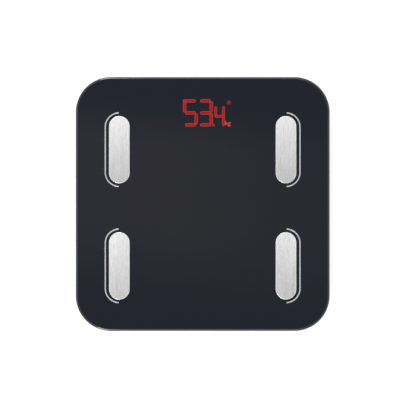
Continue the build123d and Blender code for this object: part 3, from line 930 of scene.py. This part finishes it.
@dataclass
class GlassPlatform:
    """The glass slab that everything hangs under."""

    side: float = 280.0
    corner_radius: float = 39.0
    bottom: float = 18.0
    thickness: float = 6.0
    top_round: float = 2.4
    bottom_round: float = 1.0
    flat_margin: float = 0.6
    corner_steps: int = 40
    round_steps: int = 12
    side_falloff: float = 0.85
    corner_falloff: float = 0.6
    finish: DarkGlass = DarkGlass("polished_dark_glass")

    @property
    def top(self) -> float:
        """Height of the glass's face."""
        return self.bottom + self.thickness

    def profile(self) -> list[Triple]:
        """The skin's section, from the underside round the edge to the face.

        Returns:
            Inset, height and lean of each ring, with a lean of 1 where the edge is ground.
        """
        steps = [(self.bottom_round + self.flat_margin, self.bottom, 0.0)]
        for step in range(self.round_steps + 1):
            angle = QUARTER * step / self.round_steps
            inset = self.bottom_round * (1 - math.sin(angle))
            steps.append((inset, self.bottom + self.bottom_round * (1 - math.cos(angle)), 1.0))
        for step in range(self.round_steps + 1):
            angle = QUARTER * (1 - step / self.round_steps)
            inset = self.top_round * (1 - math.sin(angle))
            steps.append((inset, self.top - self.top_round * (1 - math.cos(angle)), angle / QUARTER))
        steps.append((self.top_round + self.flat_margin, self.top, 0.0))
        return steps

    def build(self) -> None:
        """Loft the slab and mark its ground edge."""
        rings, rim = [], []
        for inset, height, lean in self.profile():
            half, radius = self.side / 2 - inset, self.corner_radius - inset
            rings.append(rounded_square(half, radius, height, self.corner_steps))
            for step in list(range(self.corner_steps + 1)) * len(Corner):
                turn = math.sin(math.pi * step / self.corner_steps)
                rim.append(lean ** (self.side_falloff + self.corner_falloff * turn))
        piece = loft("glass_slab", rings, self.finish, rim=rim)
        seat(piece, "platform", "platform_glass", "glass_platform")


@dataclass
class Electrodes:
    """The four brushed plates that bare feet stand on."""

    length: float = 74.0
    width: float = 22.7
    bottom: float = 24.2
    top: float = 25.0
    lip_round: float = 0.25
    lip_fade: float = 0.5
    crown: float = 0.10
    spine: float = 0.4
    x: float = 91.7
    rear_y: float = 59.8
    front_y: float = -68.0
    end_steps: int = 36
    lip_steps: int = 6
    crown_steps: int = 8
    underside_inset: float = 0.3
    # Lip value at the underside edge: partly polish, partly painted highlight.
    underside_polish_and_highlight: float = 0.6
    finish: BrushedSteel = BrushedSteel("brushed_stainless")

    def centre(self, corner: Corner) -> Vector:
        """Middle of one plate's underside."""
        x_sign, y_sign = corner.value
        return Vector((x_sign * self.x, self.rear_y if y_sign > 0 else self.front_y, self.bottom))

    def profile(self) -> list[Triple]:
        """The plate's section, from the underside round the lip to the crown.

        Returns:
            Inset, height over the underside and lip value of each ring.
        """
        edge = self.top - self.bottom - self.crown
        steps = [(self.underside_inset, 0.0, 0.0), (0.0, 0.0, self.underside_polish_and_highlight)]
        for step in range(self.lip_steps + 1):
            angle = QUARTER * step / self.lip_steps
            inset = self.lip_round * (1 - math.cos(angle))
            steps.append((inset, edge - self.lip_round * (1 - math.sin(angle)), 1.0))
        reach = self.width / 2 - self.lip_round - self.spine
        for step in range(1, self.crown_steps + 1):
            share = (step / self.crown_steps) ** 2
            rise = self.crown * (1 - (1 - share) ** 2)
            # The lip value, and with it the painted highlight, fades out across the first part of the face.
            bright = max(0.0, 1 - share * reach / self.lip_fade)
            steps.append((self.lip_round + share * reach, edge + rise, bright))
        return steps

    def build(self, corner: Corner) -> None:
        """Loft one plate with its crown and mark its lip and the way along it.

        Args:
            corner: The corner of the scale that the plate is at.
        """
        centre = self.centre(corner)
        straight = (self.length - self.width) / 2
        rings, lip, along = [], [], []
        for inset, height, edge in self.profile():
            middle = centre + Vector((0, 0, height))
            ring = stadium(straight, self.width / 2 - inset, middle, self.end_steps)
            rings.append(ring)
            lip += [edge] * len(ring)
            # The along value runs from 0 at the plate's front end to 1 at its rear end and carries the
            # painted sheen.
            along += [0.5 + (point.y - centre.y) / self.length for point in ring]
        piece = loft(f"{corner.word}_plate", rings, self.finish, lip=lip, along=along)
        seat(piece, "platform", "electrode_steel", f"{corner.word}_electrode")


@dataclass
class PrintedOutlines:
    """Half outlines printed beside the outer side of each plate."""

    plates: Electrodes
    glass_top: float
    radius: float = 15.44
    straight: float = 25.05
    line_width: float = 1.44
    end_gap: float = 0.75
    proud: float = 0.02
    depth: float = 0.06
    steps: int = 120
    finish: ScreenPrint = ScreenPrint("pale_screen_print")

    @property
    def sizes(self) -> dict[str, float | int]:
        """The tree's sizes.

        Returns:
            Each size in metres, by its input's name.
        """
        return {
            "Radius": self.radius * MM, "Straight": self.straight * MM, "End gap": self.end_gap * MM,
            "Line width": self.line_width * MM, "Depth": self.depth * MM, "Steps": self.steps,
        }

    def path(self, group: ShapeGroup) -> Socket:
        """Lay a curve round half a stadium: a quarter turn, a straight run and a quarter turn.

        Args:
            group: The tree that it is laid in.

        Returns:
            The level curve, with its middle at the origin.
        """
        take = group.take
        quarter = group.times(take["Radius"], QUARTER)
        side = group.times(take["Straight"], 2.0)
        whole = group.line(quarter, 2.0, side)
        drawn = group.line(take["End gap"], -2.0, whole)
        straight = group.step("GeometryNodeCurvePrimitiveLine")
        points = group.step("GeometryNodeResampleCurve", {"Curve": straight, "Count": take["Steps"]})
        share = group.step("GeometryNodeSplineParameter")
        gone = group.line(share, drawn, take["End gap"])
        past = group.minus(gone, quarter)
        first = group.math("MINIMUM", gone, quarter)
        down = group.math("MINIMUM", group.math("MAXIMUM", past, 0.0), side)
        last = group.math("MAXIMUM", group.minus(past, side), 0.0)
        turned = group.math("DIVIDE", group.plus(first, last), take["Radius"])
        angle = group.plus(turned, QUARTER)
        across = group.times(group.math("COSINE", angle), take["Radius"])
        rise = group.times(group.math("SINE", angle), take["Radius"])
        height = group.plus(group.minus(take["Straight"], down), rise)
        place = group.step("ShaderNodeCombineXYZ", {"X": across, "Y": height})
        laid = group.step("GeometryNodeSetPosition", {"Geometry": points, "Position": place})
        return group.step("GeometryNodeSetCurveNormal", {"Curve": laid}, mode="Z_UP")

    def tree(self) -> Tree:
        """A tree that draws one half outline by rule and sets it at each seed point.

        Returns:
            The geometry tree.
        """
        group = ShapeGroup("half_outline", self.sizes)
        take = group.take
        sides = {"Width": take["Line width"], "Height": take["Depth"]}
        section = group.step("GeometryNodeCurvePrimitiveQuadrilateral", sides)
        swept = group.step("GeometryNodeCurveToMesh", {
            "Curve": self.path(group), "Profile Curve": section, "Fill Caps": True,
        })
        spin = group.step("ShaderNodeCombineXYZ", {"Z": group.named("turn")})
        return group.end(group.step("GeometryNodeInstanceOnPoints", {
            "Points": take["Geometry"], "Instance": swept, "Rotation": spin,
        }))

    def build(self) -> None:
        """Draw the four half outlines as one thin inlay."""
        middle = self.glass_top + self.proud - self.depth / 2
        seeds = [Vector((*self.plates.centre(corner).xy, middle)) for corner in Corner]
        turns = [0.0 if corner.value[0] < 0 else math.pi for corner in Corner]
        mesh = make_mesh("outline_seeds", seeds, turn=turns)
        piece = grow("printed_outlines", mesh, self.tree(), self.sizes, self.finish)
        seat(piece, "platform", "platform_glass")


class Seed(NamedTuple):
    """One bar of the display: its middle, length, width, depth under the others and turn."""

    x: float
    y: float
    length: float
    width: float
    sunk: float = 0.0
    turn: float = 0.0


@dataclass
class Digit:
    """Place and size of one digit, measured between its bars' centre lines."""

    x: float
    y: float
    numeral: Numeral
    columns: float = 12.76
    rows: float = 13.2
    bar: float = 3.6
    level: float = 11.7
    upright: float = 12.2
    layer: float = 0.004
    dot_layers: int = 2
    filled: tuple[tuple[int, int], ...] = ()

    def seeds(self) -> list[Seed]:
        """The digit's bars, each kind on a layer of its own so that no faces coincide.

        Returns:
            Each bar that is lit, and a dot in each filled corner.
        """
        lit = [
            (column, row, self.upright if turned else self.level, turned, turned * QUARTER)
            for column, row, turned in (bar.value for bar in self.numeral.value)
        ]
        dots = [(column, row, self.bar, self.dot_layers, 0.0) for column, row in self.filled]
        return [
            Seed(
                self.x + column * self.columns / 2, self.y + row * self.rows,
                length, self.bar, layers * self.layer, turn,
            )
            for column, row, length, layers, turn in lit + dots
        ]


@dataclass
class Display:
    """The lit reading that shows through the glass."""

    glass_top: float
    proud: float = 0.02
    depth: float = 0.06
    core: float = 0.55
    round_steps: int = 28
    digits: list[Digit] = field(default_factory=lambda: [
        Digit(-13.5, 100.3, Numeral.FIVE, filled=((-1, 1),)),
        Digit(3.05, 100.3, Numeral.THREE),
        Digit(18.6, 96.6, Numeral.FOUR, 8.6, 10.15, 2.95, 9.6, 11.35),
    ])
    point: Seed = Seed(11.7, 86.8, 3.0, 3.0)
    indicator: Seed = Seed(28.8, 111.5, 4.7, 4.7)
    unit_place: Pair = (27.75, 88.4)
    unit_size: Pair = (6.3, 6.1)
    letter_swell: float = 0.012
    letter_extrude: float = 0.5
    letter_steps: int = 6
    weld: float = 0.001
    lit: LitBar = LitBar("lit_bar")
    unit_lit: LitBar = LitBar("lit_unit", (0.66, 0.075, 0.036), (0.66, 0.09, 0.05))
    dim: LitBar = LitBar("dim_indicator", (0.17, 0.026, 0.018), (0.12, 0.020, 0.014))

    @property
    def sizes(self) -> dict[str, float | int]:
        """The tree's sizes, in metres and as a share of a bar's half width."""
        return {"Round steps": self.round_steps, "Core": self.core, "Depth": self.depth * MM}

    def discs(self, group: ShapeGroup) -> Socket:
        """Set a round disc with an inner ring on each seed point.

        Args:
            group: The tree that they are made in.

        Returns:
            The discs, whose points know their seed's centre and their place on the unit disc.
        """
        take = group.take
        circle = {"Vertices": take["Round steps"], "Radius": 1.0}
        disc = group.step("GeometryNodeMeshCircle", circle, fill_type="NGON")
        spin = group.step("ShaderNodeCombineXYZ", {"Z": group.math("DIVIDE", math.pi, take["Round steps"])})
        even = group.step("GeometryNodeTransform", {"Geometry": disc, "Rotation": spin})
        ring = {"Mesh": even, "Offset Scale": 0.0, "Individual": False}
        ringed = group.add("GeometryNodeExtrudeMesh", ring).outputs
        inner = {"Geometry": ringed["Mesh"], "Selection": ringed["Top"], "Scale": take["Core"]}
        cored = group.step("GeometryNodeScaleElements", inner)
        here = group.step("GeometryNodeInputPosition")
        unit = group.store(cored, "unit", here, "FLOAT_VECTOR")
        points = group.store(take["Geometry"], "centre", here, "FLOAT_VECTOR")
        copies = group.step("GeometryNodeInstanceOnPoints", {"Points": points, "Instance": unit})
        return group.step("GeometryNodeRealizeInstances", {"Geometry": copies})

    def drawn_out(self, group: ShapeGroup, discs: Socket) -> Socket:
        """Pull each disc out to its bar's length and turn it.

        Args:
            group: The tree that they are made in.
            discs: The discs at their seeds.

        Returns:
            The flat bars, with a value that rises from the core to the edge.
        """
        unit = group.named("unit", "FLOAT_VECTOR")
        x, y, _ = group.add("ShaderNodeSeparateXYZ", {0: unit}).outputs
        half = group.times(group.named("width"), 0.5)
        run = group.line(group.named("length"), 0.5, group.times(half, -1.0))
        along = group.line(group.math("SIGN", x), run, group.times(x, half))
        shift = group.step("ShaderNodeCombineXYZ", {"X": along, "Y": group.times(y, half)})
        turning = {"Vector": shift, "Angle": group.named("turn")}
        turned = group.step("ShaderNodeVectorRotate", turning, rotation_type="Z_AXIS")
        place = group.vector("ADD", group.named("centre", "FLOAT_VECTOR"), turned)
        laid = group.step("GeometryNodeSetPosition", {"Geometry": discs, "Position": place})
        reach = group.add("ShaderNodeVectorMath", {0: unit}, operation="LENGTH").outputs["Value"]
        core = group.take["Core"]
        edge = group.math("DIVIDE", group.minus(reach, core), group.minus(1.0, core))
        return group.store(laid, "edge", edge)

    def tree(self) -> Tree:
        """A tree that turns each seed point into a flush bar with round ends.

        Returns:
            The geometry tree.
        """
        group = ShapeGroup("flush_bars", self.sizes)
        flat = self.drawn_out(group, self.discs(group))
        raised = group.step("GeometryNodeExtrudeMesh", {
            "Mesh": flat, "Offset": (0.0, 0.0, 1.0),
            "Offset Scale": group.take["Depth"], "Individual": False,
        })
        base = group.step("GeometryNodeFlipFaces", {"Mesh": flat})
        both = group.add("GeometryNodeJoinGeometry")
        for side in (base, raised):
            group.fill(both, {0: side})
        closing = {"Geometry": both.outputs[0], "Distance": self.weld * MM}
        return group.end(group.step("GeometryNodeMergeByDistance", closing))

    def bars(self, name: str, tree: Tree, seeds: list[Seed], finish: LitBar) -> None:
        """Make one inlay of bars.

        Args:
            name: The piece's name.
            tree: The tree that grows the bars.
            seeds: The bars.
            finish: What lights them.
        """
        base = self.glass_top + self.proud - self.depth
        mesh = make_mesh(
            name + "_seeds",
            [Vector((seed.x, seed.y, base - seed.sunk)) for seed in seeds],
            length=[seed.length * MM for seed in seeds],
            width=[seed.width * MM for seed in seeds],
            turn=[seed.turn for seed in seeds],
        )
        seat(grow(name, mesh, tree, self.sizes, finish), "platform", "led_resin")

    def unit_sign(self) -> None:
        """Make the sign for kilograms beside the reading."""
        words = bpy.data.curves.new("unit_words", "FONT")
        words.body = "kg"
        words.align_x, words.align_y = "CENTER", "CENTER"
        words.extrude = self.letter_extrude
        words.offset = self.letter_swell
        words.resolution_u = self.letter_steps
        carrier = make_object("unit_carrier", words)
        mesh = plain_mesh(carrier)
        bpy.data.objects.remove(carrier)
        axes = list(zip(*(vertex.co for vertex in mesh.vertices)))
        low, high = Vector([min(axis) for axis in axes]), Vector([max(axis) for axis in axes])
        sizes = (*self.unit_size, self.depth)
        factors = [size / (top - bottom) * MM for size, top, bottom in zip(sizes, high, low)]
        place = Vector((*self.unit_place, self.glass_top + self.proud - self.depth / 2)) * MM
        mesh.transform(Matrix.Translation(-(low + high) / 2))
        mesh.transform(Matrix.Translation(place) @ Matrix.Diagonal((*factors, 1.0)))
        shell = bmesh.new()
        shell.from_mesh(mesh)
        bmesh.ops.remove_doubles(shell, verts=shell.verts, dist=self.weld * MM)
        bmesh.ops.recalc_face_normals(shell, faces=shell.faces)
        shell.to_mesh(mesh)
        shell.free()
        put_on(mesh, self.unit_lit.material())
        mesh.attributes.new("edge", "FLOAT", "POINT")
        seat(make_object("unit_sign", mesh), "platform", "led_resin")

    def build(self) -> None:
        """Make the digits, the point, the unit and the indicator."""
        tree = self.tree()
        reading = [seed for digit in self.digits for seed in digit.seeds()]
        self.bars("lit_reading", tree, [*reading, self.point], self.lit)
        self.bars("indicator_dot", tree, [self.indicator], self.dim)
        self.unit_sign()


@dataclass
class Underside:
    """The tray, door, button and feet, which keep their solids and get their finishes."""

    tray: Moulding = Moulding("tray_moulding")
    door: Moulding = Moulding("door_moulding", (0.021, 0.021, 0.023), 2600.0, 0.018, 0.42)
    button: Moulding = Moulding("button_moulding", (0.19, 0.19, 0.20), 3200.0, 0.012, 0.36)
    foot: Moulding = Moulding("foot_moulding", (0.024, 0.024, 0.026), 2200.0, 0.02, 0.44)
    pad: SoftRubber = SoftRubber("pad_soft_rubber")

    def dress(self) -> None:
        """Give each solid its finish."""
        wear("lower_tray", self.tray)
        wear("battery_door", self.door)
        wear("unit_button", self.button)
        for corner in Corner:
            wear(f"{corner.word}_foot", self.foot)
            wear(f"{corner.word}_foot_pad", self.pad)


@dataclass
class Inside:
    """The pieces between the tray and the glass, which keep their solids and get their finishes."""

    single: dict[str, Finish] = field(default_factory=lambda: {
        "electrode_tapes": Jacket("tape_skin", (0.55, 0.55, 0.55), (0.42, 0.42, 0.42)),
        "glass_bond": SoftRubber("bond_foam_cells", (0.016, 0.016, 0.017), 900.0),
        "gauge_seals": SoftRubber("white_sealant", (0.70, 0.70, 0.67), 500.0),
        "circuit_board": SolderMask("solder_mask"),
        "board_screws": PlatedMetal("zinc_plate", (0.50, 0.50, 0.52), (0.36, 0.35, 0.33)),
        "display_light_box": Moulding("white_moulding", (0.78, 0.78, 0.76), 2600.0, 0.015, 0.40, 0.02),
        "display_film": Jacket("film_skin", (0.70, 0.70, 0.70), (0.62, 0.62, 0.62)),
        "display_gasket": SoftRubber("gasket_foam_cells", (0.018, 0.018, 0.019), 1100.0),
        "led_chips": Jacket("led_lens", (0.60, 0.04, 0.04), (0.42, 0.03, 0.03)),
        "controller_chip": Moulding("chip_moulding", (0.022, 0.022, 0.022), 5200.0, 0.006, 0.50, 0.03),
        "radio_module": PlatedMetal("tinned_can", (0.62, 0.62, 0.60), (0.47, 0.46, 0.43)),
        "push_switch": Moulding("switch_moulding", (0.026, 0.026, 0.027), 4200.0, 0.008, 0.45, 0.03),
        "switch_plunger": Moulding("plunger_moulding", (0.70, 0.69, 0.66), 4200.0, 0.008, 0.38, 0.02),
        "battery_contacts": PlatedMetal("nickel_plate", (0.70, 0.68, 0.62), (0.52, 0.49, 0.43)),
        "battery_springs": PlatedMetal("nickel_wire", (0.72, 0.70, 0.65), (0.52, 0.49, 0.43)),
        "electrode_leads": Jacket("white_lead_skin", (0.62, 0.62, 0.60), (0.50, 0.50, 0.48)),
        "battery_leads": Jacket("red_lead_skin", (0.38, 0.02, 0.02), (0.28, 0.02, 0.02)),
    })
    battery: Jacket = Jacket("cell_jacket", (0.30, 0.31, 0.33), (0.22, 0.23, 0.25), 1.0)
    load_cell: PlatedMetal = PlatedMetal("load_cell_steel", (0.45, 0.46, 0.48), (0.36, 0.36, 0.36))
    holder: Moulding = Moulding("holder_moulding", (0.76, 0.76, 0.74), 2400.0, 0.015, 0.42, 0.02)
    cell_leads: Jacket = Jacket("cell_lead_skin", (0.05, 0.06, 0.28), (0.04, 0.05, 0.20))

    def dress(self) -> None:
        """Give each solid its finish."""
        for node, finish in self.single.items():
            wear(node, finish)
        for row in ("front", "middle", "rear"):
            wear(f"{row}_battery", self.battery)
        for corner in Corner:
            wear(f"{corner.word}_load_cell", self.load_cell)
            wear(f"{corner.word}_cell_holder", self.holder)
            wear(f"{corner.word}_cell_leads", self.cell_leads)


class Sky(Wiring):
    """The world's nodes, with the parts of a direction to the right, to the rear and upwards."""

    def __init__(self, world: bpy.types.World) -> None:
        """Start the world with the direction that is looked in.

        Args:
            world: The world to wire.
        """
        super().__init__(emptied(world))
        way = self.add("ShaderNodeTexCoord").outputs["Generated"]
        self.x, self.y, self.z = self.add("ShaderNodeSeparateXYZ", {0: way}).outputs


@dataclass
class Lamp:
    """A soft box that points at the middle of the scale."""

    name: str
    place: Triple
    size: Pair
    power: float

    def build(self) -> None:
        """Make the lamp and aim it."""
        light = bpy.data.lights.new(self.name, "AREA")
        light.shape = "RECTANGLE"
        light.size, light.size_y = (side * MM for side in self.size)
        light.energy = self.power
        lamp = make_object(self.name, light)
        lamp.location = Vector(self.place) * MM
        lamp.rotation_euler = (-lamp.location).to_track_quat("-Z", "Y").to_euler()


@dataclass
class Studio:
    """Pale floor, soft light and a camera that looks straight down.

    Reaches and the band's edges are parts of a direction, where 1 is straight along its axis.
    """

    frame_width: float = 440.2
    camera_distance: float = 1600.0
    camera_place: Pair = (-2.93, 4.42)
    camera_clip: Span = (50.0, 200000.0)
    face_height: float = 24.0
    sensor: float = 36.0
    floor_half: float = 40000.0
    floor_colour: Colour = (0.45, 0.45, 0.45)
    floor_glow: float = 0.72
    walls: float = 0.30
    ring: float = 1.38
    ring_reach: Span = (0.36, 0.86)
    horizon: float = 0.55
    horizon_reach: Span = (0.0, 0.42)
    skirting: float = 0.2
    skirting_reach: Span = (0.0, 0.16)
    side_lean: Span = (-0.48, -0.20)
    end_lean: Span = (0.55, 0.03)
    overhead: Colour = (0.30, 0.30, 0.30)
    overhead_reach: Span = (0.972, 0.990)
    band_warm: Colour = (0.25, 0.205, 0.135)
    band_cool: Colour = (0.25, 0.200, 0.200)
    band_slant: float = 0.105
    band_rear: Span = (0.032, 0.067)
    band_front: Span = (-0.082, -0.014)
    band_right: Span = (-0.03, 0.10)
    band_right_share: float = 0.45
    cool_reach: Span = (0.01, 0.075)
    lamps: list[Lamp] = field(default_factory=lambda: [
        Lamp("rear_softbox", (-330.0, 1120.0, 860.0), (260.0, 950.0), 8.0),
        Lamp("front_softbox", (-400.0, -1120.0, 860.0), (320.0, 950.0), 9.85),
        Lamp("left_softbox", (-1200.0, 100.0, 800.0), (500.0, 800.0), 0.8),
    ])

    def build_floor(self) -> None:
        """Lay a plain floor that shows white and still takes a shadow."""
        signs = ((-1, -1), (1, -1), (1, 1), (-1, 1))
        corners = [Vector((x, y, 0)) * self.floor_half for x, y in signs]
        floor = make_object("studio_floor", make_mesh("studio_floor", corners, [range(len(corners))]))
        paint = bpy.data.materials.new("pale_floor")
        wiring = Wiring(emptied(paint))
        path = wiring.add("ShaderNodeLightPath").outputs
        seen = wiring.math("MAXIMUM", path["Is Camera Ray"], path["Is Glossy Ray"])
        seen = wiring.math("MAXIMUM", seen, path["Is Transmission Ray"])
        matt = wiring.step("ShaderNodeBsdfDiffuse", {"Color": (*self.floor_colour, 1.0)})
        strength = wiring.times(seen, self.floor_glow)
        glow = wiring.step("ShaderNodeEmission", {"Color": (*WHITE, 1.0), "Strength": strength})
        both = wiring.step("ShaderNodeAddShader", {0: matt, 1: glow})
        wiring.add("ShaderNodeOutputMaterial", {"Surface": both})
        put_on(floor.data, paint)

    def room(self, sky: Sky) -> Socket:
        """Light from quiet walls that rises to a bright ring overhead.

        Args:
            sky: The world's nodes.

        Returns:
            The light's strength.
        """
        level = sky.spread(sky.z, self.ring_reach, (self.walls, self.ring))
        horizon = sky.spread(sky.z, self.horizon_reach, (self.horizon, 0.0))
        skirting = sky.spread(sky.z, self.skirting_reach, (self.skirting, 1.0))
        sides = sky.times(sky.x, sky.line(sky.x, *self.side_lean))
        ends = sky.times(sky.y, sky.line(sky.y, *self.end_lean))
        diagonal = sky.math("ABSOLUTE", sky.times(sky.x, sky.y))
        lean = sky.line(diagonal, -1.0, sky.plus(sides, ends))
        walls = sky.times(sky.plus(level, horizon), skirting)
        return sky.times(walls, sky.plus(lean, 1.0))

    def patch(self, sky: Sky, share: Socket) -> Socket:
        """Dim light round the camera with a slanted band of tinted light across it.

        Args:
            sky: The world's nodes.
            share: Where the patch is.

        Returns:
            The light's colour.
        """
        tilted = sky.line(sky.x, self.band_slant, sky.y)
        rear = sky.spread(tilted, self.band_rear, (1.0, 0.0))
        stripe = sky.times(rear, sky.spread(tilted, self.band_front))
        fade = sky.spread(sky.x, self.band_right, (1.0, self.band_right_share))
        band = sky.times(sky.times(stripe, fade), share)
        outer = sky.spread(sky.math("ABSOLUTE", sky.x), self.cool_reach)
        tint = sky.blend(outer, self.band_warm, self.band_cool)
        return sky.vector("ADD", sky.shade(share, self.overhead), sky.shade(band, tint))

    def build_world(self) -> None:
        """Light the room, with white behind everything for the camera."""
        world = bpy.data.worlds.new("studio_room")
        bpy.context.scene.world = world
        sky = Sky(world)
        share = sky.spread(sky.z, self.overhead_reach)
        bright = sky.times(self.room(sky), sky.minus(1.0, share))
        studio = sky.vector("ADD", self.patch(sky, share), bright)
        camera = sky.add("ShaderNodeLightPath").outputs["Is Camera Ray"]
        colour = sky.blend(camera, studio, WHITE)
        light = sky.step("ShaderNodeBackground", {"Color": colour, "Strength": 1.0})
        sky.add("ShaderNodeOutputWorld", {"Surface": light})

    def build_camera(self) -> None:
        """Hang the camera over the scale, framed as the photograph is."""
        lens = bpy.data.cameras.new("overhead_camera")
        lens.sensor_width = self.sensor
        lens.lens = self.sensor * self.camera_distance / self.frame_width
        lens.clip_start, lens.clip_end = (distance * MM for distance in self.camera_clip)
        camera = make_object("overhead_camera", lens)
        height = self.face_height + self.camera_distance
        camera.location = Vector((*self.camera_place, height)) * MM
        bpy.context.scene.camera = camera

    def build(self) -> None:
        """Set up the whole studio."""
        bpy.context.scene.view_settings.view_transform = "Standard"
        self.build_floor()
        self.build_world()
        self.build_camera()
        for lamp in self.lamps:
            lamp.build()
        log.info("studio: %d soft boxes", len(self.lamps))


def main() -> None:
    """Build the studio and the scale."""
    logging.basicConfig(level=logging.INFO, format="%(name)s: %(message)s")
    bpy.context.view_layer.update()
    Studio().build()
    platform = GlassPlatform()
    platform.build()
    plates = Electrodes()
    for corner in Corner:
        plates.build(corner)
    PrintedOutlines(plates, platform.top).build()
    Display(platform.top).build()
    Underside().dress()
    Inside().dress()


if __name__ == "__main__":
    main()
